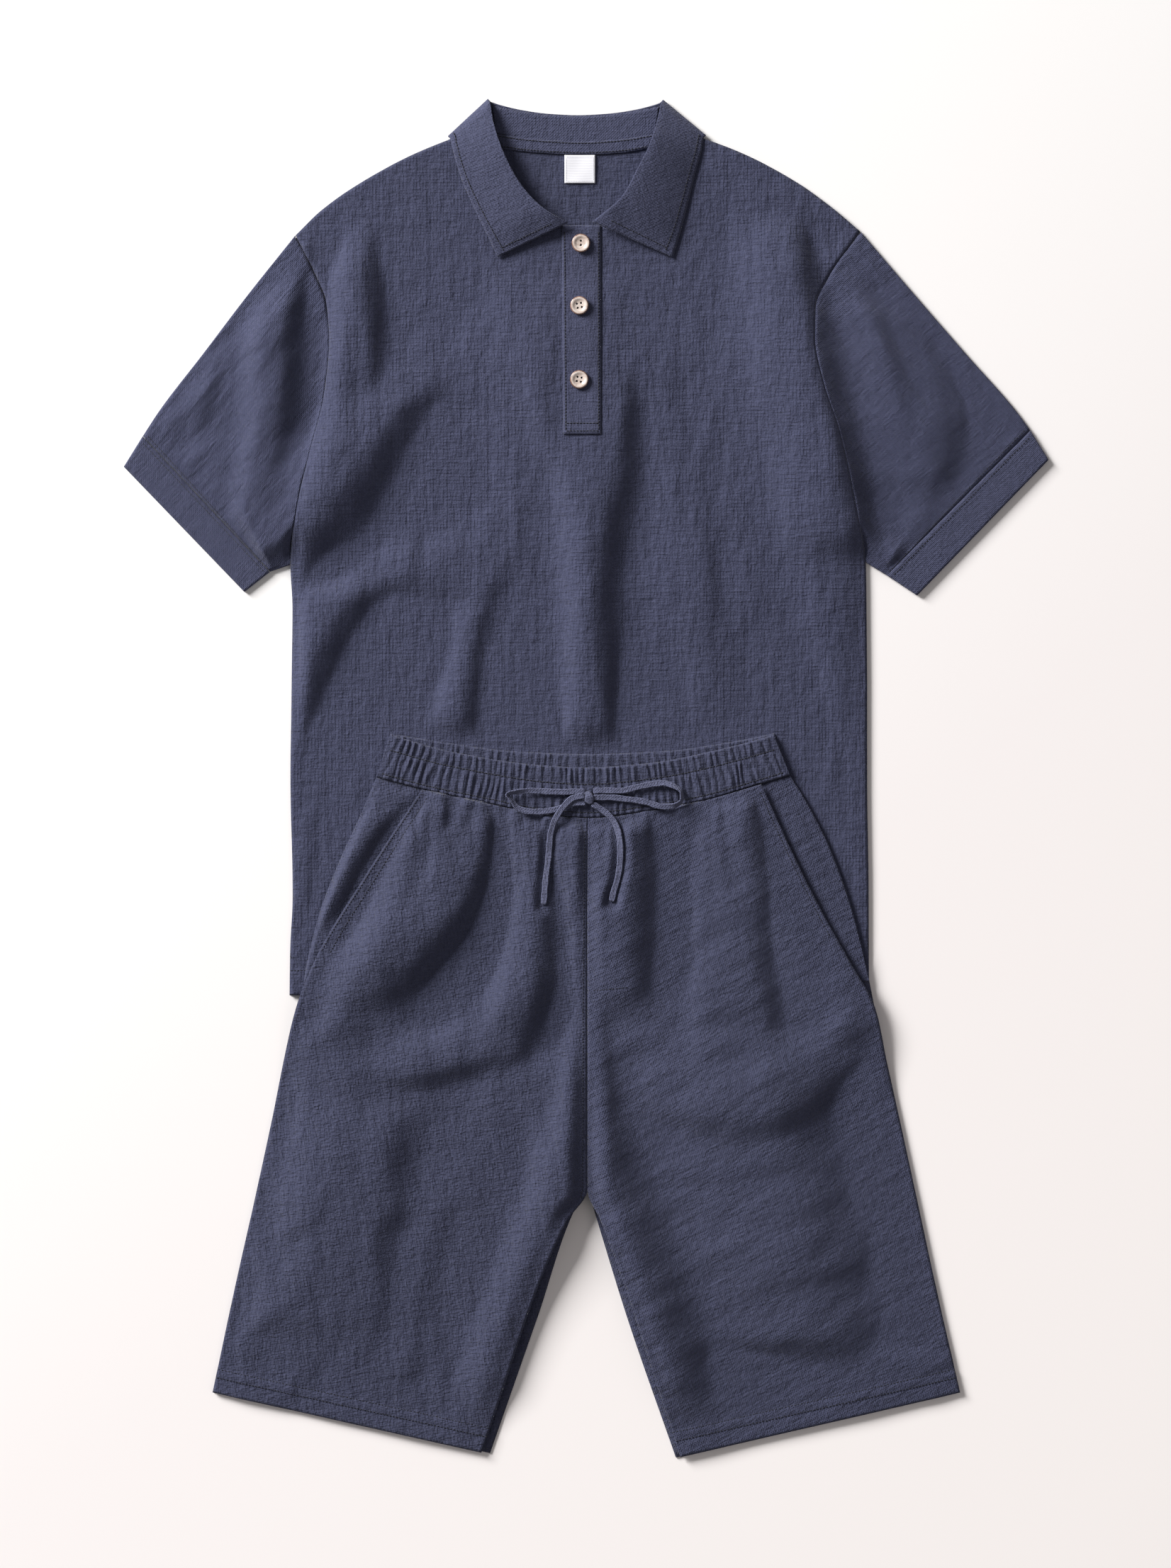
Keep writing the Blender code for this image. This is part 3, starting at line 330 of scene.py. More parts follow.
def flat_tube(name, plan, top, thickness, across, down, material, angle, wall=WALL):
    """A tube of cloth pressed flat: each row is a ring, flat below, folded round at both sides.

    A fold is half a circle whose width is the tube's thickness, and top holds the upper face's heights.
    """
    fold = thickness / 2
    out = plan[:, -1] - plan[:, 0]
    out = (out / np.linalg.norm(out, axis=1)[:, None])[:, None]
    near, far = plan[:, :1] + fold * out, plan[:, -1:] - fold * out
    inner = plan[:, 1:-1]

    def at(points, height):
        return np.concatenate((points, np.broadcast_to(height, points.shape[:2])[..., None]), axis=-1)

    turn = np.radians(np.linspace(-72.0, 72.0, 9))
    sine, cosine = np.sin(turn)[None, :], np.cos(turn)[None, :, None]
    far_fold = at(far + fold * cosine * out, fold + fold * sine)
    near_fold = at(near - fold * cosine * out, fold - fold * sine)
    ring = np.concatenate((at(near, 0.0), at(inner, 0.0), at(far, 0.0), far_fold, at(far, thickness),
                           at(inner, top)[:, ::-1], at(near, thickness), near_fold), axis=1)[:, ::-1]
    thing = finish_mesh(name, ring.reshape(-1, 3), grid_faces(*ring.shape[:2], ring=True),
                        grain(ring[..., :2], angle), material)
    add_wall(thing, wall, -1.0)
    upper = np.concatenate((at(near, thickness), at(inner, top), at(far, thickness)), axis=1)
    return Sheet(thing, across, down, upper)


# Materials

def linear(hex_colour):
    """Turn an sRGB hex colour to the linear values that a shader takes."""
    channels = [int(hex_colour[i:i + 2], 16) / 255 for i in (1, 3, 5)]
    return tuple(c / 12.92 if c <= 0.04045 else ((c + 0.055) / 1.055) ** 2.4 for c in channels) + (1.0,)


def add(tree, kind, inputs=None, stops=(), **settings):
    """Add a node with its settings, its inputs set or linked, and a colour ramp's (place, hex) stops."""
    node = tree.nodes.new(kind)
    for name, value in settings.items():
        setattr(node, name, value)
    for name, value in (inputs or {}).items():
        if isinstance(value, bpy.types.NodeSocket):
            tree.links.new(value, node.inputs[name])
        else:
            node.inputs[name].default_value = value
    if stops:
        while len(node.color_ramp.elements) < len(stops):
            node.color_ramp.elements.new(0.5)
        for element, (place, colour) in zip(node.color_ramp.elements, stops):
            element.position, element.color = place, linear(colour)
    return node


def new_material(name, **uniform):
    """A Principled material. Values that are the same all over are set on the shader's own sockets."""
    material = bpy.data.materials.new(name)
    material.use_nodes = True
    shader = material.node_tree.nodes["Principled BSDF"]
    for socket, value in uniform.items():
        shader.inputs[socket.replace("_", " ")].default_value = value
    return material, material.node_tree, shader


THREAD_PITCH = 0.0013        # real threads are 0.5 mm apart, drawn coarser so that they show
RIB_PITCH = 0.0009           # the label's cross ribs
BAND_SPACING = 0.314         # how far apart a wave texture's bands are at a scale of 1

# Uneven patterns in the gauze, along its own grain. Columns: name, across, along (metres), detail.
GAUZE_PATTERNS = (
    ("pucker", 0.012, 0.022, 1.5),
    ("crepe", 0.0056, 0.030, 1.5),
    ("cross_crepe", 0.022, 0.0052, 1.5),
    ("slub", 0.0017, 0.0055, 1.0),
    ("cross_slub", 0.0050, 0.0017, 1.0),
)


def crinkled_gauze(name, shade, base, light, pucker=0.0022, crepe=0.0014, yarn=0.00078, weave=0.00018):
    """Double gauze of linen and cotton, garment washed: matte, finely puckered and creased on the grain.

    Colour follows the slubs, which are the yarn's own tone, and the weave, painted darker in its hollows and
    lighter on its threads: painted shade and painted light. Height is puckers, creases along and across
    the grain, slubs and weave, one on another, each with its own height in metres.
    """
    material, tree, shader = new_material(name, Roughness=0.92, Sheen_Weight=0.12, Sheen_Roughness=0.5,
                                          Specular_IOR_Level=0.15)
    place = add(tree, "ShaderNodeUVMap", uv_map="grain").outputs["UV"]
    pattern = {}
    for part, across, along, detail in GAUZE_PATTERNS:
        size = add(tree, "ShaderNodeMapping", {"Vector": place, "Scale": (1 / across, 1 / along, 1.0)})
        noise = add(tree, "ShaderNodeTexNoise", {"Vector": size.outputs["Vector"], "Scale": 1.0,
                                                 "Detail": detail})
        pattern[part] = noise.outputs["Fac"]
    for direction in ("X", "Y", "DIAGONAL"):
        wave = add(tree, "ShaderNodeTexWave",
                   {"Vector": place, "Scale": BAND_SPACING / THREAD_PITCH, "Distortion": 1.2,
                    "Detail": 1.0, "Detail Scale": 0.25},
                   wave_type="BANDS", bands_direction=direction)
        pattern[direction] = wave.outputs["Fac"]
    square = add(tree, "ShaderNodeMath", {0: pattern["X"], 1: pattern["Y"]}, operation="ADD").outputs[0]
    threads = add(tree, "ShaderNodeMath", {0: square, 1: pattern["DIAGONAL"]}, operation="ADD").outputs[0]
    slubs = add(tree, "ShaderNodeMath", {0: pattern["slub"], 1: pattern["cross_slub"]},
                operation="ADD").outputs[0]
    tone = add(tree, "ShaderNodeMapRange", {"Value": slubs, "From Min": 0.55, "From Max": 1.45}).outputs[0]
    # Painted shade and painted light: the weave's colour is darker where its threads lie low and lighter
    # where they stand high.
    weave_painted_shade = add(tree, "ShaderNodeMapRange", {"Value": threads, "From Min": 0.0, "From Max": 3.0,
                                               "To Min": -0.22, "To Max": 0.22}).outputs[0]
    tone = add(tree, "ShaderNodeMath", {0: tone, 1: weave_painted_shade}, operation="ADD").outputs[0]
    colour = add(tree, "ShaderNodeValToRGB", {"Fac": tone}, stops=((0.0, shade), (0.5, base), (1.0, light)))
    tree.links.new(colour.outputs["Color"], shader.inputs["Base Color"])
    creases = add(tree, "ShaderNodeMath", {0: pattern["cross_crepe"], 1: 0.85, 2: pattern["crepe"]},
                  operation="MULTIPLY_ADD").outputs[0]
    normal = {}
    for height, distance in ((pattern["pucker"], pucker), (creases, crepe), (slubs, yarn), (threads, weave)):
        bump = add(tree, "ShaderNodeBump", {"Height": height, "Distance": distance, **normal})
        normal = {"Normal": bump.outputs["Normal"]}
    tree.links.new(normal["Normal"], shader.inputs["Normal"])
    return material


def sewing_thread(name, colour):
    """Spun polyester thread: a little shinier than the cloth, with a fine twist across it."""
    material, tree, shader = new_material(name, Roughness=0.6, Sheen_Weight=0.1, Specular_IOR_Level=0.35)
    place = add(tree, "ShaderNodeTexCoord").outputs["Object"]
    twist = add(tree, "ShaderNodeTexNoise", {"Vector": place, "Scale": 1500.0, "Detail": 2.0})
    shades = add(tree, "ShaderNodeValToRGB", {"Fac": twist.outputs["Fac"]},
                 stops=((0.3, colour[0]), (0.7, colour[1])))
    tree.links.new(shades.outputs["Color"], shader.inputs["Base Color"])
    return material


def shell_resin(name, dark, middle, pale):
    """Cast polyester in imitation of shell: turned and polished, with cloudy growth bands."""
    material, tree, shader = new_material(name, Roughness=0.32, IOR=1.54, Coat_Weight=0.25,
                                          Coat_Roughness=0.2)
    place = add(tree, "ShaderNodeTexCoord").outputs["Object"]
    cloud = add(tree, "ShaderNodeTexNoise", {"Vector": place, "Scale": 160.0, "Detail": 3.0,
                                             "Distortion": 1.2})
    shades = add(tree, "ShaderNodeValToRGB", {"Fac": cloud.outputs["Fac"]},
                 stops=((0.3, dark), (0.5, middle), (0.7, pale)))
    tree.links.new(shades.outputs["Color"], shader.inputs["Base Color"])
    bump = add(tree, "ShaderNodeBump", {"Height": cloud.outputs["Fac"], "Distance": 0.00004})
    tree.links.new(bump.outputs["Normal"], shader.inputs["Normal"])
    return material


def damask_label(name):
    """Damask-woven polyester satin: bright white, with a slight sheen and fine cross ribs, greyer in their
    grooves as painted shade.
    """
    material, tree, shader = new_material(name, Roughness=0.55, Sheen_Weight=0.2, Specular_IOR_Level=0.4)
    place = add(tree, "ShaderNodeUVMap", uv_map="grain").outputs["UV"]
    rib = add(tree, "ShaderNodeTexWave", {"Vector": place, "Scale": BAND_SPACING / RIB_PITCH,
                                          "Distortion": 0.6}, wave_type="BANDS", bands_direction="Y")
    # Painted shade and painted light: the ribs are coloured greyer in their grooves and whiter on their
    # crests.
    shades = add(tree, "ShaderNodeValToRGB", {"Fac": rib.outputs["Fac"]},
                 stops=((0.0, "#DCDCE4"), (1.0, "#F4F4F8")))
    tree.links.new(shades.outputs["Color"], shader.inputs["Base Color"])
    bump = add(tree, "ShaderNodeBump", {"Height": rib.outputs["Fac"], "Distance": 0.00008})
    tree.links.new(bump.outputs["Normal"], shader.inputs["Normal"])
    return material


def floor_tint_and_painted_light(name):
    """Smooth matte white board under the set: painted greyer near the window and whiter and faintly rosy
    towards the far corner, painted light that evens out the window's falloff.
    """
    material, tree, shader = new_material(name, Roughness=0.9, Specular_IOR_Level=0.1)
    place = add(tree, "ShaderNodeTexCoord").outputs["Object"]
    fade = add(tree, "ShaderNodeMapping", {"Vector": place, "Location": (0.45, 0.0, 0.0),
                                           "Scale": (0.6, 0.6, 0.6),
                                           "Rotation": (0.0, 0.0, math.radians(52.0))})
    across = add(tree, "ShaderNodeTexGradient", {"Vector": fade.outputs["Vector"]})
    # Painted light: the gradient runs from grey by the window to white at the far corner, against the
    # window's falloff.
    shades = add(tree, "ShaderNodeValToRGB", {"Fac": across.outputs["Fac"]},
                 stops=((0.25, "#F5F4F3"), (0.57, "#F6F1F0"), (0.94, "#FFFAF8")))
    tree.links.new(shades.outputs["Color"], shader.inputs["Base Color"])
    return material


SHIRT_GAUZE = crinkled_gauze("crinkled linen gauze, shirt", "#393C51", "#40435A", "#484B63")
INSIDE_GAUZE = crinkled_gauze("crinkled linen gauze, inside", "#373A4E", "#3E4157", "#454860")
SHORTS_GAUZE = crinkled_gauze("crinkled linen gauze, shorts", "#383B50", "#3F4258", "#474A61", yarn=0.00110)
TRIM_GAUZE = crinkled_gauze("pressed linen gauze, trims", "#3D4056", "#44475E", "#4B4E66", 0.0010, 0.0007)
TAPE_GAUZE = crinkled_gauze("pressed linen tape, drawstring", "#4D5067", "#585B73", "#656880", 0.0, 0.0002)
# Partly the thread's own slate colour and partly painted shade: the thread is drawn near black, so that each
# stitch shows the shade of its pucker as a dark dash.
THREAD_WITH_PAINTED_SHADE = sewing_thread("spun thread, slate, darkened with painted shade", ("#12131C", "#1C1E2C"))
LABEL_THREAD = sewing_thread("spun thread, pale grey", ("#B9BAC6", "#CFD0DA"))
BUTTON_RESIN = shell_resin("shell resin, cream", "#B9A69B", "#CFC0B7", "#DDD2CA")
BUTTON_RIM = shell_resin("shell resin, brown rim", "#5E453A", "#7E6154", "#9B8073")
LABEL_SATIN = damask_label("damask label satin")


# Drawstring, a flat tape, made before the cloth that it lies on

TAPE_WIDTH, TAPE_THICKNESS = 5.6, 1.8
TAPE_SIDES, TAPE_POINTS_PER_MM = 20, 0.8
TAPE_END = 2.2               # the last stretch of a tail, which is rounded in
BAND_GATHERS_RISE, PANEL_FOLDS_RISE = 2.5, 1.8      # what the tape rests on stands up this much
RIGHT_FOLD_RISE = 4.4                               # the fold under the right tail, beyond that
BAND_TOP_LEVEL = (SHIRT_STACK + 2 * BAND_WALL + BACK_GATHER_HEIGHT + LAYER_GAP + BAND_GATHERS_RISE
                  + LAYER_GAP)
LEFT_PANEL_LEVEL = SHIRT_STACK + 2 * PLY + WAIST_SEAM_RISE + PANEL_FOLDS_RISE
RIGHT_PANEL_LEVEL = LEFT_PANEL_LEVEL + RIGHT_FOLD_RISE
PANEL_REST_Y, BAND_REST_Y = -66.0, -38.0      # the tape lies on the fronts below, on the band above

# Columns: x, y, lift (how far it passes over another strand), twist (degrees off flat).
LOOP_LEFT = (
    (-0.6, -13.0, 0.0, 10), (-9.7, -12.7, 0.0, 4), (-20.0, -13.2, 0.0, 0), (-35.6, -12.7, 0.0, 0),
    (-48.0, -12.0, 0.0, 8), (-59.4, -12.7, 0.0, 30), (-68.8, -14.0, 0.0, 52), (-71.9, -15.8, 0.0, 60),
    (-67.7, -20.7, 0.0, 52), (-62.5, -27.5, 0.0, 24), (-53.2, -30.9, 0.0, 6), (-42.8, -31.3, 0.0, 0),
    (-32.4, -30.1, 0.0, 0), (-20.0, -27.0, 0.0, 0), (-9.7, -23.4, 0.0, 6), (-0.6, -22.8, 0.0, 14),
)
LOOP_RIGHT = (
    (6.6, -12.0, 0.0, 12), (17.3, -11.8, 0.0, 4), (31.8, -12.0, 0.0, 0), (47.4, -8.6, 0.0, 0),
    (62.9, -5.7, 0.0, 4), (70.9, -5.0, 0.0, 16), (80.0, -7.6, 0.0, 36), (87.5, -14.0, 0.0, 58),
    (87.6, -20.0, 0.0, 60), (81.0, -25.5, 0.0, 36), (70.9, -26.5, 0.0, 10), (52.5, -21.8, 0.0, 0),
    (37.0, -19.7, 0.0, 0), (21.4, -18.2, 0.0, 4), (7.1, -18.2, 0.0, 12),
)
TAIL_LEFT = (
    (-1.3, -16.2, 2.2, 6), (-11.7, -18.7, 2.2, 0), (-19.0, -24.9, 2.2, 0), (-25.2, -33.2, 2.2, 0),
    (-27.6, -37.4, 2.2, 0), (-29.9, -42.5, 1.0, 4), (-32.4, -52.9, 0.0, 8), (-34.0, -71.6, 0.0, 0),
    (-36.6, -92.3, 0.0, -6), (-38.5, -116.1, 0.0, 0),
)
TAIL_RIGHT = (
    (5.9, -23.9, 0.0, 10), (13.6, -28.6, 0.0, 0), (20.4, -33.8, 0.0, 0), (26.6, -41.5, 0.0, -8),
    (30.3, -52.9, 0.0, -14), (31.6, -65.3, 0.0, -6), (31.0, -79.9, 0.0, 0), (28.7, -93.3, 0.0, 6),
    (25.1, -105.8, 0.0, 0), (23.5, -113.0, 0.0, 0),
)
KNOT_CENTRE, KNOT_SIZE, KNOT_SINK = (2.8, -18.3), (8.4, 12.6, 5.0), 0.9
KNOT_TURN = 18.0      # degrees, leaning to the left at its top


def panel_level(x):
    """Height of the fronts under the drawstring's tails: the right tail lies on a fold."""
    return np.where(x > 0.0, RIGHT_PANEL_LEVEL, LEFT_PANEL_LEVEL)


def tape_rest(x, y):
    """Height of what the tape lies on: the gathered band, and the fronts below it."""
    on_band = ease((y - PANEL_REST_Y) / (BAND_REST_Y - PANEL_REST_Y))
    return panel_level(x) + (BAND_TOP_LEVEL - panel_level(x)) * on_band


def tape_section():
    """Flat tape: a rounded oblong with a low hollow along the middle, between its stitched edges."""
    turn = np.arange(TAPE_SIDES) * math.tau / TAPE_SIDES
    across = np.sign(np.cos(turn)) * np.abs(np.cos(turn)) ** 0.6
    rise = np.sign(np.sin(turn)) * np.abs(np.sin(turn)) ** 0.7
    hollow = 1.0 - 0.55 * np.exp(-(across / 0.5) ** 2)
    return 0.5 * TAPE_WIDTH * across, 0.5 * TAPE_THICKNESS * rise * hollow


def drawstring_tape(name, route, ends):
    """Carry the tape's section along a smooth route, rolled by its twist, with both ends rounded in.

    A point is the route's point, plus across and up vectors turned by the twist, times the section.
    The edges ripple a little, as a pressed tape does.
    """
    table = np.asarray(route, float)
    travelled = np.concatenate(([0.0], np.cumsum(np.hypot(*np.diff(table[:, :2], axis=0).T))))
    count = max(24, int(travelled[-1] * TAPE_POINTS_PER_MM * FINE))
    at = np.linspace(0.0, travelled[-1], count)
    x, y, lift, twist = (smooth_through(travelled, table[:, k], at) for k in range(4))
    twist = np.radians(twist)
    ahead = np.stack((np.gradient(x), np.gradient(y)), axis=-1)
    ahead /= np.linalg.norm(ahead, axis=1)[:, None]
    side = np.stack((ahead[:, 1], -ahead[:, 0]), axis=-1)
    half_height = 0.5 * (TAPE_WIDTH * np.abs(np.sin(twist)) + TAPE_THICKNESS * np.cos(twist))
    z = tape_rest(x, y) + lift + half_height + 0.25 * np.sin(at / 7.3) * np.sin(at / 3.1 + 1.0)
    across, rise = tape_section()
    end_share = np.clip(np.minimum(at, travelled[-1] - at) / TAPE_END, 0.0, 1.0)
    slim = np.sqrt(1.0 - (1.0 - end_share) ** 2) * (1.0 - ends) + ends
    ripple = 1.0 + 0.05 * np.sin(at / 2.3 + 2.0 * np.sin(at / 9.0))
    wide = across[None] * (slim * ripple)[:, None]
    tall = rise[None] * (0.5 + 0.5 * slim)[:, None]
    flat = wide * np.cos(twist)[:, None] - tall * np.sin(twist)[:, None]
    up = wide * np.sin(twist)[:, None] + tall * np.cos(twist)[:, None]
    middle = np.stack((x, y, z), axis=-1)
    ring = np.concatenate((middle[:, None, :2] + flat[..., None] * side[:, None],
                           (z[:, None] + up)[..., None]), axis=-1)
    uv = np.stack(np.broadcast_arrays(across[None], at[:, None]), axis=-1)
    tape = finish_mesh(name, ring[:, ::-1].reshape(-1, 3), grid_faces(count, TAPE_SIDES, ring=True),
                       uv[:, ::-1].reshape(-1, 2), TAPE_GAUZE)
    cap_ends(tape)
    belongs(tape, "drawstring_cloth", name)
    return tape, middle


def cap_ends(thing):
    """Close the open ends of a tube with one face each, turned outwards."""
    body = bmesh.new()
    body.from_mesh(thing.data)
    bmesh.ops.holes_fill(body, edges=[e for e in body.edges if e.is_boundary], sides=0)
    bmesh.ops.recalc_face_normals(body, faces=body.faces)
    body.to_mesh(thing.data)
    body.free()
    thing.data.shade_smooth()


def drawstring_knot():
    """The knot: a ball pressed to its own width, height and depth, with three wraps of tape round it.

    The radius at each angle is 1 plus a fold wave that runs aslant, so that the wraps show as ridges.
    """
    rows, columns = 40, 56
    pole = 0.02      # radians left open at each pole, and closed by a face
    polar = np.linspace(pole, math.pi - pole, rows)[:, None]
    round_it = (np.arange(columns) * math.tau / columns)[None]
    wraps = 0.085 * np.cos(3.0 * (polar * 1.15 + 0.35 * np.sin(round_it + 0.6)) + 0.5)
    radius = 1.0 + wraps + 0.035 * np.sin(5.0 * round_it + 3.0 * polar)
    squareness = 0.66
    sx = np.sign(np.cos(round_it)) * np.abs(np.cos(round_it)) ** squareness
    sz = np.sign(np.sin(round_it)) * np.abs(np.sin(round_it)) ** squareness
    x = radius * np.sin(polar) ** 0.8 * sx * KNOT_SIZE[0] / 2
    z = radius * np.sin(polar) ** 0.8 * sz * KNOT_SIZE[2] / 2
    y = np.broadcast_to(np.cos(polar), x.shape) * KNOT_SIZE[1] / 2
    base = tape_rest(*np.array(KNOT_CENTRE)) - KNOT_SINK + KNOT_SIZE[2] / 2
    cosine, sine = math.cos(math.radians(KNOT_TURN)), math.sin(math.radians(KNOT_TURN))
    points = np.stack((x * cosine - y * sine + KNOT_CENTRE[0], x * sine + y * cosine + KNOT_CENTRE[1],
                       z + base), axis=-1)
    uv = np.stack(np.broadcast_arrays(polar * 7.0, round_it * 3.5), axis=-1)
    knot = finish_mesh("drawstring_knot_wraps", points.reshape(-1, 3), grid_faces(rows, columns, ring=True),
                       uv.reshape(-1, 2), TAPE_GAUZE)
    cap_ends(knot)
    return belongs(knot, "drawstring_cloth", "drawstring_knot")


def drawstring():
    """The knot, then two loops and two tails. Ends is the share of its width that a stretch ends with."""
    knot = drawstring_knot()
    for name, route, far_end, ends, extra in (
            ("drawstring_loop_left", LOOP_LEFT, "knot", 0.85, (knot,)),
            ("drawstring_loop_right", LOOP_RIGHT, "knot", 0.85, ()),
            ("drawstring_tail_left", TAIL_LEFT, "bare", 0.55, ()),
            ("drawstring_tail_right", TAIL_RIGHT, "bare", 0.7, ())):
        tape, middle = drawstring_tape(name, route, ends)


drawstring()


# Shirt outlines. Columns: x, y.

SHOULDER_LEFT = ((-266.0, 497.0), (-243.4, 519.2), (-206.4, 545.2), (-158.3, 571.0), (-128.0, 583.6))
SHOULDER_RIGHT = ((112.5, 584.0), (145.9, 571.0), (194.0, 545.0), (229.8, 519.0), (251.5, 500.5))
NECK_POINT_LEFT = (-93.0, 596.5)
NECK_POINT_RIGHT = (73.0, 596.0)
FRONT_NECK = ((-79.0, 568.0), (-62.0, 541.0), (-44.0, 520.0), (-22.0, 506.5), (14.0, 504.5), (21.0, 510.0),
              (39.0, 532.0), (51.0, 553.0), (62.0, 575.0))
BACK_NECK = ((-78.0, 586.5), (-50.0, 582.0), (-3.0, 580.0), (36.0, 582.6), (60.0, 587.0))
SHIRT_SIDE_LEFT = ((-266.0, 497.0), (-248.2, 461.2), (-238.3, 436.3), (-235.0, 400.0), (-240.0, 350.0),
                   (-252.0, 300.0), (-264.5, 245.0), (-270.6, UNDERARM_Y), (-268.6, 154.0), (-269.4, 76.0),
                   (-270.7, -2.0), (-268.5, -105.0), (-271.0, -160.0), (-271.5, HEM_Y))
SHIRT_SIDE_RIGHT = ((251.5, 500.5), (222.0, 458.7), (209.6, 428.8), (209.0, 400.0), (217.0, 360.0),
                    (231.5, 317.0), (248.5, 240.0), (256.5, UNDERARM_Y), (257.1, 154.0), (257.7, 76.0),
                    (257.7, -2.0), (259.0, -105.0), (259.2, -160.0), (259.5, HEM_Y))
SHIRT_HEM = ((-271.5, HEM_Y), (-120.0, HEM_Y - 1.0), (80.0, HEM_Y - 0.5), (259.5, HEM_Y))

OVERARM_LEFT = ((-266.6, 497.6), (-311.0, 441.7), (-351.3, 388.4), (-391.0, 336.4), (-406.1, 313.2))
OVERARM_RIGHT = ((252.2, 501.0), (302.6, 441.7), (348.7, 388.4), (394.2, 336.4), (407.3, 318.6))
CUFF_SEAM_LEFT = ((-406.1, 313.2), (-289.3, 188.8))
CUFF_SEAM_RIGHT = ((407.3, 318.6), (275.5, 185.6))
CUFF_EDGE_LEFT = ((-423.5, 285.1), (-312.9, 170.2))
CUFF_EDGE_RIGHT = ((424.2, 291.5), (303.6, 166.9))

COLLAR_RISE = 9.0      # scale of how far the roll line stands above the leaves' edges
# Places along the fall, by the rows of its table
LEFT_LEAF_END, MIDDLE_ROW, RIGHT_LEAF_START = 5.6, 10.0, 15.0
FRONT_STANDS = {"left": (0.5, 4.4), "right": (15.6, 19.5)}
# Collar fall, from the left front end round the back to the right front end.
# Columns: roll_x, roll_y, edge_x, edge_y, face (1 on the front, 0 behind the back, 0.5 at the turn).
COLLAR_FALL = (
    (-16.5, 507.8, -81.0, 477.1, 1.0),
    (-38.9, 520.8, -91.5, 499.0, 1.0),
    (-56.8, 538.7, -103.0, 523.0, 1.0),
    (-72.5, 565.6, -114.5, 550.0, 1.0),
    (-83.7, 596.9, -122.0, 576.0, 1.0),
    (-88.0, 619.0, -124.2, 585.2, 1.0),
    (-89.6, 622.2, -126.4, 587.9, 0.5),
    (-87.0, 619.6, -123.0, 584.8, 0.0),
    (-60.0, 612.3, -92.0, 562.0, 0.0),
    (-33.0, 608.6, -46.0, 547.0, 0.0),
    (-7.6, 607.4, -7.6, 542.0, 0.0),
    (18.0, 608.6, 30.0, 547.0, 0.0),
    (45.0, 612.3, 76.0, 563.0, 0.0),
    (68.0, 618.8, 106.5, 585.6, 0.0),
    (70.7, 621.4, 110.1, 588.7, 0.5),
    (69.0, 618.2, 108.0, 586.0, 1.0),
    (64.1, 596.9, 105.5, 574.0, 1.0),
    (57.3, 576.7, 99.0, 550.0, 1.0),
    (46.2, 554.4, 93.0, 525.0, 1.0),
    (33.0, 531.0, 86.5, 500.0, 1.0),
    (5.9, 508.5, 79.8, 476.5, 1.0),
)
STAND_TOP = ((-86.0, 616.0), (-60.0, 611.0), (-33.0, 607.4), (-7.6, 606.2), (18.0, 607.4), (45.0, 611.0),
             (67.3, 615.2))
STAND_FOOT = ((-82.6, 590.8), (-78.0, 588.2), (-50.0, 583.2), (-3.0, 581.0), (36.0, 583.8), (60.0, 588.6),
              (63.5, 590.2))
TAPE_TOP = ((-82.0, 590.0), (-50.0, 585.6), (-3.0, 583.2), (36.0, 585.8), (63.0, 590.4))
TAPE_FOOT = ((-76.0, 576.2), (-50.0, 573.2), (-3.0, 570.8), (36.0, 573.0), (57.0, 576.6))
LABEL_CENTRE = (-5.5, 557.6)

# The shorts' hips, which cover the shirt's lower part
HIP_LEFT = ((-191.9, 0.7), (-207.6, -37.6), (-225.0, -75.9), (-242.4, -121.2), (-254.6, -166.4),
            (-259.8, -194.3))
HIP_RIGHT = ((186.9, 2.4), (200.8, -20.2), (220.7, -58.5), (238.2, -103.7), (250.3, -145.5),
             (259.8, -187.3))
# Placket, buttons and label
PLACKET_LEFT = -22.1
PLACKET_RIGHT = 13.9
PLACKET_TOP = 506.0
PLACKET_BOTTOM = 314.0
PLACKET_WALL, PLACKET_GAP = 0.6, 0.15      # pressed flat, so nearly flush with the front
LABEL_WIDTH = 28.0
LABEL_HEIGHT = 25.7

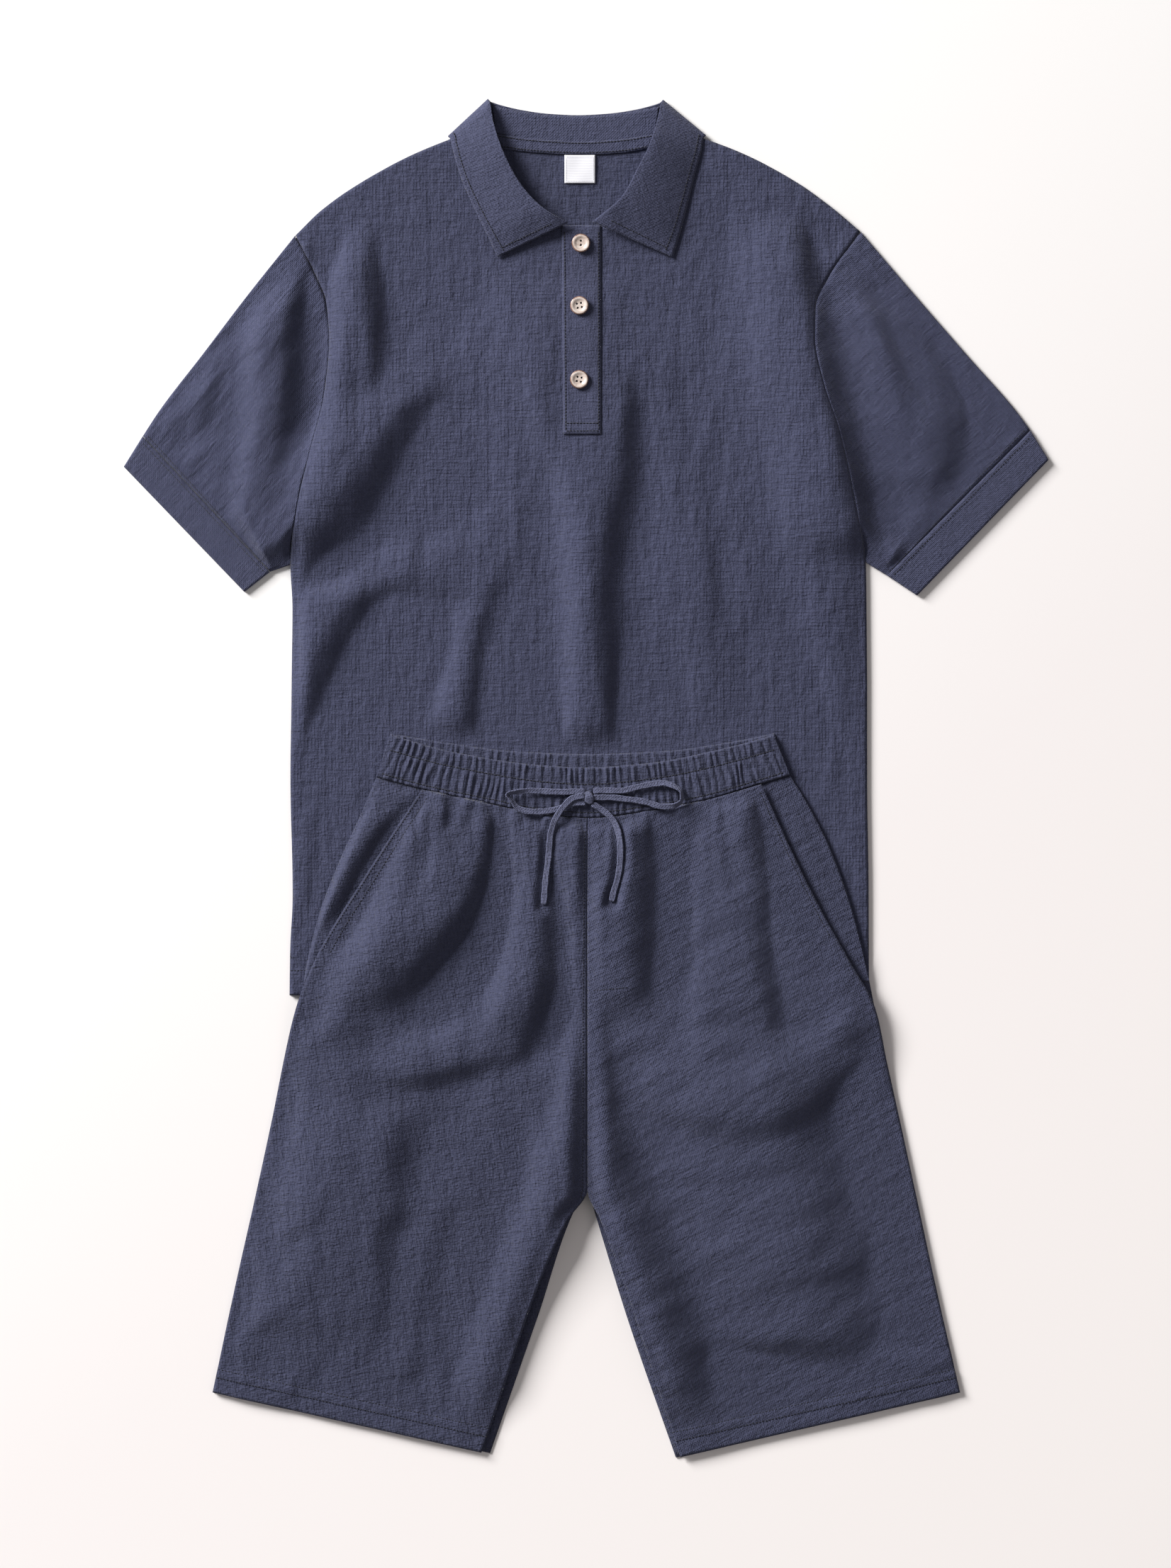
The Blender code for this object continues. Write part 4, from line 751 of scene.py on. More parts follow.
# Upright folds of the shirt's front and sleeves.
# Columns: y, x, half_width, steepness (below 0, falls left).
SHIRT_FOLDS = (
    ((512, -198, 9, 0.5), (460, -193, 13, 1.0), (410, -190, 13, 1.1), (352, -194, 12, 0.5)),
    ((366, -142, 12, 0.3), (340, -158, 17, 0.9), (305, -176, 24, 1.1), (265, -198, 29, 1.2),
     (232, -220, 26, 1.2), (205, -244, 20, 1.1), (160, -266, 14, 0.6)),
    ((192, -184, 17, 0.7), (160, -204, 24, 1.2), (115, -226, 28, 1.3), (75, -243, 24, 1.2),
     (20, -258, 15, 0.8), (-20, -260, 11, 0.3)),
    ((440, -58, 10, -0.2), (350, -54, 11, -0.4), (300, -36, 12, -0.6), (256, -20, 13, -0.8),
     (220, -15, 14, -0.9), (150, -15, 15, -1.0), (80, -17, 13, -1.1), (14, -19, 8, -1.0)),
    ((385, 34, 9, 0.5), (340, 42, 13, 1.1), (285, 38, 16, 1.2), (230, 28, 17, 1.2), (180, 21, 16, 1.2),
     (120, 22, 17, 1.3), (60, 25, 14, 1.3), (10, 26, 8, 1.2)),
    ((206, -66, 8, 0.3), (170, -84, 10, 0.7), (110, -99, 12, 1.1), (60, -103, 13, 1.2), (16, -105, 13, 1.1)),
    ((176, -112, 10, -0.4), (110, -124, 13, -0.9), (60, -138, 14, -0.9), (20, -150, 13, -0.5)),
    ((300, -146, 8, 0.3), (225, -152, 9, 0.6), (160, -160, 8, 0.2)),
    ((320, 108, 8, 0.3), (220, 114, 10, 0.6), (160, 120, 14, 0.5), (100, 140, 22, 0.4), (30, 160, 22, 0.3)),
    ((180, 88, 9, -0.2), (110, 92, 11, -0.4), (30, 94, 12, -0.3)),
    ((400, 72, 12, 0.2), (300, 88, 11, 0.45), (200, 84, 9, 0.3)),
    ((560, 128, 22, -0.2), (470, 146, 28, -0.3), (390, 160, 30, -0.35), (300, 176, 30, -0.4),
     (220, 192, 26, -0.45), (120, 206, 22, -0.4), (40, 214, 20, -0.2)),
    ((520, -96, 30, -0.15), (420, -92, 34, -0.25), (320, -84, 34, -0.25), (230, -70, 28, -0.2)),
    ((505, 240, 8, 0.5), (440, 263, 12, 1.0), (390, 280, 12, 1.0), (340, 293, 11, 0.6), (300, 298, 10, 0.2)),
    ((450, 296, 26, 0.5), (380, 322, 36, 0.8), (320, 340, 38, 0.8), (250, 332, 28, 0.5)),
    ((430, -330, 26, -0.2), (370, -350, 32, -0.3), (300, -366, 32, -0.3), (240, -350, 22, -0.2)),
    ((510, -240, 9, 0.7), (450, -262, 13, 1.1), (400, -267, 14, 1.2), (340, -270, 13, 1.0),
     (296, -281, 10, 0.4), (262, -287, 8, 0.1)),
    ((522, -214, 10, -0.7), (450, -228, 12, -1.1), (400, -231, 12, -1.1), (340, -238, 12, -1.0),
     (290, -250, 12, -0.9), (230, -262, 12, -0.5)),
    ((460, -304, 11, -0.6), (390, -308, 13, -1.0), (330, -309, 13, -1.0), (280, -315, 12, -0.9),
     (215, -326, 10, -0.5)),
    ((520, 196, 12, 1.1), (470, 204, 18, 1.35), (420, 214, 20, 1.3), (350, 228, 21, 1.3),
     (300, 239, 21, 1.3), (250, 251, 20, 1.3), (196, 262, 16, 1.1)),
    ((410, -330, 9, 0.3), (370, -338, 9, 0.7), (320, -350, 9, 0.6), (280, -360, 8, 0.2)),
    ((350, -366, 10, 0.3), (315, -380, 14, 1.0), (285, -392, 12, 0.7)),
    ((120, 214, 14, -0.3), (60, 216, 13, -0.2), (20, 232, 10, 0.4), (-40, 236, 10, 0.2)),
    ((40, -226, 12, -0.5), (-40, -224, 12, -0.4), (-100, -228, 10, -0.2)),
    ((-10, -236, 10, 0.4), (-70, -246, 11, 0.8), (-130, -258, 10, 0.6)),
)

FRONT_CONTOUR = SHOULDER_LEFT + (NECK_POINT_LEFT,) + FRONT_NECK + (NECK_POINT_RIGHT,) + SHOULDER_RIGHT
BACK_CONTOUR = SHOULDER_LEFT + (NECK_POINT_LEFT,) + BACK_NECK + (NECK_POINT_RIGHT,) + SHOULDER_RIGHT
FRONT_LEFT_EDGE, FRONT_RIGHT_EDGE = -240.0, 212.0     # the front's sides beside the placket and collar
UNDERARM_SHARE = (SHIRT_SIDE_LEFT[0][1] - UNDERARM_Y) / (SHIRT_SIDE_LEFT[0][1] - HEM_Y)
SHIRT_HEM_DEPTH = 22.5
CHEST_PUFF = 5.5
SEAM_GAP = 0.35
SLEEVE_PUFF = 5.0
ARMHOLE_LEVEL = 6.0      # how far the cloth stands up at the armholes
SIDES = ("left", "right")

# Ovals that the collar's heights follow. Columns: middle x, middle y, half width, half height.
NECK_OVAL = (-8.0, 625.0, 134.0, 104.0)
COLLAR_OVAL = (-4.0, 600.0, 150.0, 140.0)
BACK_REACH, FRONT_REACH = 1.42, 1.54      # where the cloth that lies over the collar comes down


# Heights of the shirt

def at_least(height, soft=0.5):
    """The larger of a height and 0, eased where they meet: half of the height plus its own size."""
    return 0.5 * (height + np.sqrt(height * height + soft * soft)) - 0.25 * soft


def off_oval(x, y, oval):
    """Distance from the middle of an oval, 1 on its line."""
    middle_x, middle_y, half_width, half_height = oval
    return np.hypot((x - middle_x) / half_width, (y - middle_y) / half_height)


def neck_rise(x, y, reach):
    """The cloth lies over the turned-down collar behind the neck, and eases down to its reach."""
    return PLY * ease((reach - off_oval(x, y, NECK_OVAL)) / 0.36)


def hip_x(hip, y):
    """The x of a hip at each y, straight between its points."""
    points = np.array(hip)
    return np.interp(-y, -points[:, 1], points[:, 0])


def clear_of_shorts(x, y):
    """0 where the shorts lie on the shirt and 1 clear of them, above the band and beside the hips.

    The band's upper edge is a parabola, 18 mm up at its middle and 42 mm at its ends, 178 mm away.
    """
    beside = np.maximum(hip_x(HIP_LEFT, y) - 8.0 - x, x - hip_x(HIP_RIGHT, y) - 8.0) / 16.0
    above = (y - 18.0 - 24.0 * (x / 178.0) ** 2) / 34.0
    return ease(np.maximum(above, beside))


def placket_flat(x, y):
    """0 under the placket and the buttons and 1 clear of them."""
    beside = np.maximum(PLACKET_LEFT - 2.0 - x, x - PLACKET_RIGHT - 2.0) / 14.0
    below = (PLACKET_BOTTOM - 2.0 - y) / 20.0
    return ease(np.maximum(beside, below))


def collar_flat(x, y):
    """0 under the collar leaves and 1 clear of them."""
    return ease((off_oval(x, y, COLLAR_OVAL) - 0.98) / 0.2)


def side_flat(x, left, right, width=30.0):
    """0 at both side edges and 1 well inside them."""
    return ease((x - left) / width) * ease((right - x) / width)


def chest_crown(x, y, left, right):
    """The front stands off the back in a low crown, flat towards the sides, hem and shoulders."""
    upright = ease((y - 62.0) / 120.0) * ease((465.0 - y) / 100.0)
    return CHEST_PUFF * side_flat(x, left, right, 110.0) * upright


def armhole_share(y):
    """1 along the armholes, where folds run on from the body into the sleeves, and 0 past their ends."""
    return ease((y - UNDERARM_Y + 4.0) / 46.0) * ease((506.0 - y) / 50.0)


def shirt_front_under(x, y, left, right):
    """Underside of the front: the back, then the crown, folds and crinkles where nothing lies on it.

    The folds fade at the sides, except along the armholes, where the cloth also stands up in a bell
    curve towards the sleeve. The crinkles fade at every edge and under the placket.
    """
    clear = clear_of_shorts(x, y) * collar_flat(x, y)
    share = armhole_share(y)
    sides = 1.0 - (1.0 - side_flat(x, left, right, 16.0)) * (1.0 - share)
    folds = sides * (fold_height(y, x, SHIRT_FOLDS, 1.0) + swells(x, y))
    small = side_flat(x, left, right, 9.0) * ease((y - HEM_Y - 4.0) / 24.0) * placket_flat(x, y)
    crinkled = small * (0.45 + crinkles(x, y, 0.0, 11))
    level = ARMHOLE_LEVEL * share * np.exp(-(np.minimum(x - left, right - x) / 62.0) ** 2)
    lift = chest_crown(x, y, left, right) + level + clear * (folds + crinkled)
    hem = 0.6 * ease((HEM_Y + SHIRT_HEM_DEPTH - y) / 2.0)
    return neck_rise(x, y, FRONT_REACH) + PLY + at_least(lift) + hem


def shirt_front_top(x, y):
    """Top of the front where the placket and the collar leaves lie on it."""
    return shirt_front_under(x, y, FRONT_LEFT_EDGE, FRONT_RIGHT_EDGE) + WALL


# Shirt

def contour_shares(contour):
    """The share along x of each point of the shoulder and neck line."""
    x = np.array([point[0] for point in contour])
    return (x - x[0]) / (x[-1] - x[0])


def body_plan(contour, across, down):
    """Front or back of the shirt between its shoulders and neck, hem and sides."""
    return patch(edge(contour, "x"), edge(SHIRT_HEM, "x"), edge(SHIRT_SIDE_LEFT, "y"),
                 edge(SHIRT_SIDE_RIGHT, "y"), across, down)


def declare_sheet(sheet, layers=1):
    """Work out the size that the piece was cut to: its upper face, once for each layer that it is folded to.
    The sizes are not kept.
    """
    top = sheet.top * MM
    right, down = np.diff(top, axis=1)[:-1], np.diff(top, axis=0)[:, :-1]
    area = float(np.linalg.norm(np.cross(right, down), axis=-1).sum()) * layers
    middle_row, middle_column = top[len(top) // 2], top[:, top.shape[1] // 2]
    width = float(np.linalg.norm(np.diff(middle_row, axis=0), axis=-1).sum()) * layers
    length = float(np.linalg.norm(np.diff(middle_column, axis=0), axis=-1).sum())
    width, length = max(width, area / length), max(length, area / width)


def shirt_body():
    """Back and front. The corners of the neck line have their own columns, and the hem's stitches rows."""
    across, down = shares(60, contour_shares(BACK_CONTOUR)[[5, 6, -7, -6]]), shares(70)
    plan = body_plan(BACK_CONTOUR, across, down)
    x, y = plan[..., 0], plan[..., 1]
    back = cloth_sheet("shirt_back_gauze", plan, neck_rise(x, y, BACK_REACH), across, down, INSIDE_GAUZE)
    belongs(back.thing, "shirt_cloth", "shirt_back")

    across = shares(168, contour_shares(FRONT_CONTOUR)[[5, 9, 10, 11, -6]])
    hem_line = 1.0 - SHIRT_HEM_DEPTH / (SHIRT_SIDE_LEFT[0][1] - HEM_Y)
    down = shares(256, (hem_line - 0.003, hem_line, hem_line + 0.003))
    plan = body_plan(FRONT_CONTOUR, across, down)
    x, y = plan[..., 0], plan[..., 1]
    under = shirt_front_under(x, y, x[:, :1], x[:, -1:])
    front = cloth_sheet("shirt_front_gauze", plan, under, across, down, SHIRT_GAUZE)
    belongs(front.thing, "shirt_cloth", "shirt_front")
    declare_sheet(back)
    declare_sheet(front)
    return front, hem_line


def sleeve(side):
    """Sleeve and its turned hem: two flat tubes, from the armhole to the seam and on to the opening.

    Near the body the upper face stands at the armhole's level, with its folds, and further out at the
    sleeve's own puff. Both ease to nothing at the folded sides and at the hem.
    """
    left = side == "left"
    out = -1.0 if left else 1.0
    body_side = edge(SHIRT_SIDE_LEFT if left else SHIRT_SIDE_RIGHT, "y")
    gap = np.array((1.4 * out * SEAM_GAP, 0.0))
    overarm = edge(OVERARM_LEFT if left else OVERARM_RIGHT)
    seam = CUFF_SEAM_LEFT if left else CUFF_SEAM_RIGHT
    end = CUFF_EDGE_LEFT if left else CUFF_EDGE_RIGHT
    across, rows = shares(110), shares(66)

    def armhole_edge(at):
        return body_side(at * UNDERARM_SHARE) + gap

    armhole = armhole_edge(np.array((0.0, 1.0)))

    def overarm_edge(at):
        line = overarm(at)
        return line + (1 - at)[:, None] * (armhole[0] - line[0])

    plan = patch(armhole_edge, straight(*seam), overarm_edge, straight(armhole[1], seam[1]), across, rows)
    if not left:
        plan, across = plan[:, ::-1], 1.0 - across[::-1]
    x, y = plan[:, 1:-1, 0], plan[:, 1:-1, 1]
    inner = across[1:-1]
    clear = off_ends(inner, 0.12, 0.12)[None] * ease((1 - rows) / 0.22)[:, None]
    small = off_edges(inner, rows, (0.04, 0.04), (0.03, 0.03))
    slant = -40.0 if left else 40.0
    near_body = (1.0 - ease(rows / 0.3))[:, None]
    joined = armhole_share(plan[:1, 1:-1, 1])
    level = near_body * ARMHOLE_LEVEL * joined + (1.0 - near_body) * SLEEVE_PUFF
    folds = (fold_height(y, x, SHIRT_FOLDS, 1.0) + swells(x, y)) * (1.0 - near_body + near_body * joined)
    lift = clear * (level + folds) + small * crinkles(x, y, slant, 31 if left else 41)
    tube = flat_tube(f"sleeve_{side}_gauze", plan, SLEEVE_THICKNESS + at_least(lift), SLEEVE_THICKNESS,
                     across, rows, SHIRT_GAUZE, slant)
    belongs(tube.thing, "shirt_cloth", "sleeve_" + side)
    declare_sheet(tube, layers=2)
    return tube, cuff(side, seam, end)


def cuff(side, seam, end):
    """Turned hem of a sleeve, a flat tube thicker than the sleeve, faintly crinkled between its ends."""
    seam, end = np.array(seam), np.array(end)
    away = (end - seam) / np.linalg.norm(end - seam, axis=1)[:, None]
    across, rows = shares(60), shares(14)
    plan = strip_plan(seam + SEAM_GAP * away, end, across, rows)
    slant = -42.0
    if side == "right":
        plan, across, slant = plan[:, ::-1], 1.0 - across[::-1], 42.0
    x, y = plan[:, 1:-1, 0], plan[:, 1:-1, 1]
    top = CUFF_THICKNESS + 0.35 * off_ends(rows, 0.3, 0.25)[:, None] * crinkles(x, y, slant, 51)
    tube = flat_tube(f"cuff_{side}_gauze", plan, top, CUFF_THICKNESS, across, rows, TRIM_GAUZE, slant)
    belongs(tube.thing, "shirt_cloth", "cuff_" + side)
    declare_sheet(tube, layers=2)
    return tube


def collar():
    """Stand behind the neck, and the fall: one strip that turns over the shoulders and lies behind.

    The fall is ruled from its roll line to its edge. Both lines, and which face of the shirt it lies on,
    are smooth curves through the columns of its table, read by the row's number. In front it lies on the
    shirt and the placket, and rises towards the roll line, whose own edge curls down.
    """
    across, down = shares(90), shares(10)
    stand = strip_plan(STAND_TOP, STAND_FOOT, across, down)
    lift = 0.25 * crinkles(stand[..., 0], stand[..., 1], 90.0, 61) * ease(down / 0.3)[:, None]
    back_stand = cloth_sheet("collar_stand_gauze", stand, PLY + at_least(lift), across, down, TRIM_GAUZE,
                             90.0)
    belongs(back_stand.thing, "shirt_cloth", "collar_stand")

    table = np.array(COLLAR_FALL)
    number = np.arange(len(table))
    along = np.linspace(0.0, number[-1], max(60, int(20 * 14 * FINE)))
    wide = shares(24, (0.012, 0.026))
    roll_x, roll_y, tip_x, tip_y, face = (smooth_through(number, column, along)[:, None]
                                          for column in table.T)
    x, y = roll_x + (tip_x - roll_x) * wide[None], roll_y + (tip_y - roll_y) * wide[None]
    over_placket = 2 * (PLACKET_WALL + PLACKET_GAP) + 0.5
    near = np.maximum(np.maximum(PLACKET_LEFT - x, x - PLACKET_RIGHT), y - PLACKET_TOP - 30.0)
    leaf = np.minimum(along, number[-1] - along)[:, None]
    rise = COLLAR_RISE * ease((leaf + 0.8) / 2.0) * ease((LEFT_LEAF_END - leaf) / 2.6) * np.where(
        (along < MIDDLE_ROW)[:, None], 0.35 + 0.95 * (1.0 - wide) ** 1.1, 1.55 * (1.0 - wide ** 1.35))
    front_height = (shirt_front_top(x, y) + LAYER_GAP + 0.3 + over_placket * ease((26.0 - near) / 22.0)
                    + rise)
    curl = np.exp(-wide / 0.028)[None]
    calm = off_ends(wide, 0.12, 0.1)[None]
    front_height = front_height - 0.3 * curl + 0.45 * calm * at_least(crinkles(x, y, 30.0, 71))
    behind = WALL + 0.5 * curl
    height = behind + (front_height - behind) * face
    plan = np.stack((x, y), axis=-1)
    fall = cloth_sheet("collar_fall_gauze", plan, height, wide, along / number[-1], TRIM_GAUZE, 20.0,
                       even=False)
    belongs(fall.thing, "shirt_cloth", "collar_fall")
    declare_sheet(back_stand)
    declare_sheet(fall)
    for side, (first, last) in FRONT_STANDS.items():
        collar_front_stand(side, fall.top[(along > first) & (along < last)])
    return fall


def collar_front_stand(side, rows):
    """The stand in front, straight down and outwards from under the roll line to the neck seam.

    Rows are the fall's upper points, and its tenth column gives the way outwards.
    """
    roll = rows[:, 0]
    away = rows[:, 9, :2] - roll[:, :2]
    away /= np.linalg.norm(away, axis=1)[:, None]
    down = shares(8)
    plan = roll[None, :, :2] + away[None] * (1.2 + 3.0 * down)[:, None, None]
    head = rows[None, :, 0, 2] - WALL - 0.6
    foot = shirt_front_top(plan[-1:, :, 0], plan[-1:, :, 1]) + 0.2
    height = foot + np.maximum(head - foot, 0.2) * (1.0 - down)[:, None]
    along = np.linspace(0.0, 1.0, plan.shape[1])
    strip = cloth_sheet(f"collar_stand_front_{side}_gauze", plan, height, along, down, TRIM_GAUZE, 90.0, 0.6)
    belongs(strip.thing, "shirt_cloth")


def neck_trim():
    """Tape over the back neck seam, and the bare label that hangs from it."""
    level = PLY + WALL + LAYER_GAP
    across, down = shares(70), shares(8)
    plan = strip_plan(TAPE_TOP, TAPE_FOOT, across, down)
    lift = at_least(0.2 * crinkles(plan[..., 0], plan[..., 1], 90.0, 81))
    tape = cloth_sheet("neck_tape_gauze", plan, level + lift, across, down, TRIM_GAUZE, 90.0, TRIM_WALL)
    belongs(tape.thing, "shirt_cloth", "neck_tape")
    x, y = LABEL_CENTRE
    left, right = x - LABEL_WIDTH / 2, x + LABEL_WIDTH / 2
    top, foot = y + LABEL_HEIGHT / 2, y - LABEL_HEIGHT / 2
    across, down = shares(24), shares(22)
    plan = strip_plan(((left, top), (right, top)), ((left, foot), (right, foot)), across, down)
    wave = 0.22 * np.sin(plan[..., 0] / 4.1) * np.sin(plan[..., 1] / 6.3) + 0.2
    label = cloth_sheet("label_satin", plan, level + wave, across, down, LABEL_SATIN, 0.0, TRIM_WALL)
    belongs(label.thing, "label_cloth", "label")
    declare_sheet(tape)
    declare_sheet(label)
    return tape, label


def placket_strip(name, node, left, right, top, foot, level, seed):
    """A strip of the placket, made from the front's own heights and moved out by its level.

    Both long edges are bent down: the level falls to half at the left and to a fifth at the right.
    """
    across, down = shares(20), shares(96)
    plan = strip_plan(((left, top), (right, top)), ((left + 1.4, foot), (right, foot)), across, down)
    x, y = plan[..., 0], plan[..., 1]
    calm = off_edges(across, down, (0.15, 0.15), (0.03, 0.03))
    lift = at_least(0.3 * calm * crinkles(x, y, 0.0, seed), soft=0.2)
    rest = level * ((0.5 + 0.5 * ease(across / 0.1)) * (0.2 + 0.8 * ease((1.0 - across) / 0.14)))[None]
    strip = cloth_sheet(name, plan, shirt_front_top(x, y) + rest + lift, across, down, TRIM_GAUZE, 0.0,
                        PLACKET_WALL)
    belongs(strip.thing, "shirt_cloth", node)
    declare_sheet(strip)
    return strip


def placket():
    """Under strip and top strip, and the level at which the buttons rest on them."""
    first = PLACKET_GAP
    second = first + PLACKET_WALL + PLACKET_GAP
    placket_strip("placket_under_gauze", "placket_under", PLACKET_LEFT + 4.0, PLACKET_RIGHT - 5.0,
                  PLACKET_TOP - 4.0, PLACKET_BOTTOM + 4.0, first, 91)
    top = placket_strip("placket_top_gauze", "placket_top", PLACKET_LEFT, PLACKET_RIGHT, PLACKET_TOP,
                        PLACKET_BOTTOM, second, 95)
    return top, second + PLACKET_WALL + LAYER_GAP


# Buttons. Columns: x, y, turn of the holes in degrees, holes.
BUTTONS = ((-4.5, 489.5, 90.0, 2), (-5.9, 432.0, 12.0, 4), (-6.0, 363.9, -10.0, 4))
BUTTON_DIAMETER, BUTTON_HOLE = 16.9, 1.9
HOLE_SPACING = 1.9           # how far a hole's middle is from the button's, along X and along Y
BUTTON_REST, BUTTON_SINK = 8.0, 0.1      # radius on which a button stands, and how far it sinks in

# Half of the button's section, from the middle of its face over the rim to its back. Columns: share of the
# radius, height, finish (0 cream, 1 brown).
BUTTON_PROFILE = (
    (0.004, 1.75, 0), (0.2, 1.76, 0), (0.4, 1.82, 0), (0.52, 1.98, 0), (0.6, 2.35, 0), (0.67, 2.75, 0),
    (0.74, 2.94, 0), (0.81, 3.0, 0), (0.88, 2.95, 0), (0.93, 2.78, 1), (0.98, 2.45, 1), (1.0, 2.0, 1),
    (1.0, 1.4, 1), (0.97, 0.8, 1), (0.9, 0.3, 0), (0.8, 0.05, 0), (0.5, 0.0, 0), (0.004, 0.0, 0),
)


def revolved(name, profile, centre, columns, material):
    """Carry a profile of (radius, height) round an upright line through the centre, closed at both ends."""
    turn = np.arange(columns) * math.tau / columns
    radius, height = np.asarray(profile, float).T
    x = centre[0] + radius[:, None] * np.cos(turn)[None]
    y = centre[1] + radius[:, None] * np.sin(turn)[None]
    z = np.broadcast_to(centre[2] + height[:, None], x.shape)
    thing = finish_mesh(name, np.stack((x, y, z), axis=-1).reshape(-1, 3),
                        grid_faces(len(radius), columns, ring=True), None, material)
    cap_ends(thing)
    return thing


def apply_modifiers(thing):
    """Make a piece's mesh what its modifiers show."""
    evaluated = thing.evaluated_get(bpy.context.evaluated_depsgraph_get())
    mesh = bpy.data.meshes.new_from_object(evaluated)
    thing.modifiers.clear()
    thing.data = mesh


def button(number, x, y, z, turn, holes):
    """A turned, dished disc with a brown rim, drilled through at the corners of a square or at two ends."""
    radius = BUTTON_DIAMETER / 2
    profile = [(share * radius, height) for share, height, _ in BUTTON_PROFILE]
    columns = 72
    disc = revolved(f"button_{number}_shell", profile, (x, y, z), columns, BUTTON_RESIN)
    disc.data.materials.append(BUTTON_RIM)
    finish = np.array([row[2] for row in BUTTON_PROFILE])
    rows = np.maximum(finish[:-1], finish[1:])
    slots = np.zeros(len(disc.data.polygons), dtype=np.int32)
    slots[:len(rows) * columns] = np.repeat(rows, columns)
    disc.data.polygons.foreach_set("material_index", slots)
    step = HOLE_SPACING * np.array(((-1.0, 0.0), (1.0, 0.0)))
    if holes == 4:
        step = HOLE_SPACING * np.array(((-1.0, -1.0), (1.0, -1.0), (-1.0, 1.0), (1.0, 1.0)))
    cosine, sine = math.cos(math.radians(turn)), math.sin(math.radians(turn))
    places = np.stack((x + step[:, 0] * cosine - step[:, 1] * sine,
                       y + step[:, 0] * sine + step[:, 1] * cosine), axis=-1)
    drills = []
    for place in places:
        drill = revolved("drill", ((BUTTON_HOLE / 2, 6.0), (BUTTON_HOLE / 2, -3.0)), (*place, z), 20,
                         BUTTON_RIM)
        cut = disc.modifiers.new("hole", "BOOLEAN")
        cut.object, cut.operation, cut.solver = drill, "DIFFERENCE", "EXACT"
        drills.append(drill)
    apply_modifiers(disc)
    for drill in drills:
        bpy.data.objects.remove(drill, do_unlink=True)
    belongs(disc, "buttons", f"button_{number}")


# Stitches

STITCH_PITCH, STITCH_LENGTH, STITCH_RADIUS = 3.0, 2.1, 0.36
BOLD, BOLDEST = 1.25, 1.3      # sizes of stitches that are drawn larger so that they show


def stitch_form():
    """One stitch: a six-sided bead along X whose ends are thinner and dip into the cloth."""
    turn = np.arange(6) * math.tau / 6
    along = np.array((-0.5, -0.3, 0.3, 0.5)) * STITCH_LENGTH
    radius = np.array((0.5, 1.0, 1.0, 0.5)) * STITCH_RADIUS
    dip = np.array((-0.6, 0.0, 0.0, -0.6)) * STITCH_RADIUS
    x = np.broadcast_to(along[:, None], (4, 6))
    y = radius[:, None] * np.cos(turn)[None]
    z = radius[:, None] * np.sin(turn)[None] + dip[:, None]
    points = np.stack((x, y, z), axis=-1).reshape(-1, 3)
    ends = np.array(((0, 1, 2, 3), (0, 3, 4, 5), (21, 20, 19, 18), (23, 22, 21, 18)))
    return points, np.concatenate((grid_faces(4, 6, ring=True)[:, ::-1], ends[:, ::-1]))


def stitches(name, runs, slot, material=None, pitch=STITCH_PITCH, size=1.0):
    """Stitches laid end to end along runs of points, each turned to its run, all in one mesh."""
    form, form_faces = stitch_form()
    middles, aheads = [], []
    for run in runs:
        run = np.asarray(run, float)
        travelled = np.concatenate(([0.0], np.cumsum(np.linalg.norm(np.diff(run, axis=0), axis=1))))
        at = np.arange(0.5 * pitch, travelled[-1] - 0.3 * pitch, pitch)
        ends = [np.stack([np.interp(at + half * pitch, travelled, run[:, k]) for k in range(3)], axis=-1)
                for half in (-0.4, 0.0, 0.4)]
        middles.append(ends[1])
        aheads.append(ends[2] - ends[0])
    middle, ahead = np.concatenate(middles), np.concatenate(aheads)
    ahead /= np.linalg.norm(ahead, axis=1)[:, None]
    side = np.stack((-ahead[:, 1], ahead[:, 0], np.zeros(len(ahead))), axis=-1)
    side /= np.linalg.norm(side, axis=1)[:, None]
    up = np.cross(ahead, side)
    wander = 0.06 * np.sin(np.arange(len(middle)) * 2.7)[:, None]
    ahead, side = ahead + wander * side, side - wander * ahead
    form = form * size
    points = (middle[:, None] + form[None, :, :1] * ahead[:, None] + form[None, :, 1:2] * side[:, None]
              + form[None, :, 2:] * up[:, None])
    faces = form_faces[None] + len(form) * np.arange(len(middle))[:, None, None]
    # Stitches take the thread darkened with painted shade unless another material is given.
    thing = finish_mesh(name, points.reshape(-1, 3), faces.reshape(-1, 4), None, material or THREAD_WITH_PAINTED_SHADE)
    return belongs(thing, slot)


def line_on(sheet, u0, v0, u1, v1, raise_by=0.12):
    """A run of points on a sheet's upper face, straight between two places given as shares."""
    share = np.linspace(0.0, 1.0, 240)
    return sheet.at(u0 + (u1 - u0) * share, v0 + (v1 - v0) * share) + (0.0, 0.0, raise_by)


# Shorts outlines. Columns: x, y.

BAND_FRONT_TOP = ((-178.7, 39.2), (-120.5, 23.3), (-37.0, 11.1), (1.4, 9.4), (53.6, 12.9), (133.7, 28.6),
                  (172.0, 39.2))
BAND_BACK_TOP = ((-179.2, 40.2), (-120.5, 31.0), (-68.3, 24.4), (1.4, 21.6), (71.0, 24.4), (133.7, 32.8),
                 (172.5, 40.6))
BAND_FOOT = ((-191.9, 0.7), (-148.4, -10.8), (-96.1, -21.9), (-33.5, -34.1), (1.4, -36.6), (71.0, -27.9),
             (105.8, -21.2), (158.0, -6.3), (186.9, 2.4))
POCKET_LEFT = ((-150.1, -9.8), (-202.0, -90.0), (-246.0, -163.0))
POCKET_RIGHT = ((160.5, -5.9), (192.5, -75.9), (217.0, -124.7), (243.0, -171.0))
LEG_SIDE_LEFT = ((-264.9, -209.6), (-277.2, -261.6), (-287.6, -313.6), (-304.5, -391.6), (-322.1, -469.6),
                 (-342.0, -563.5))
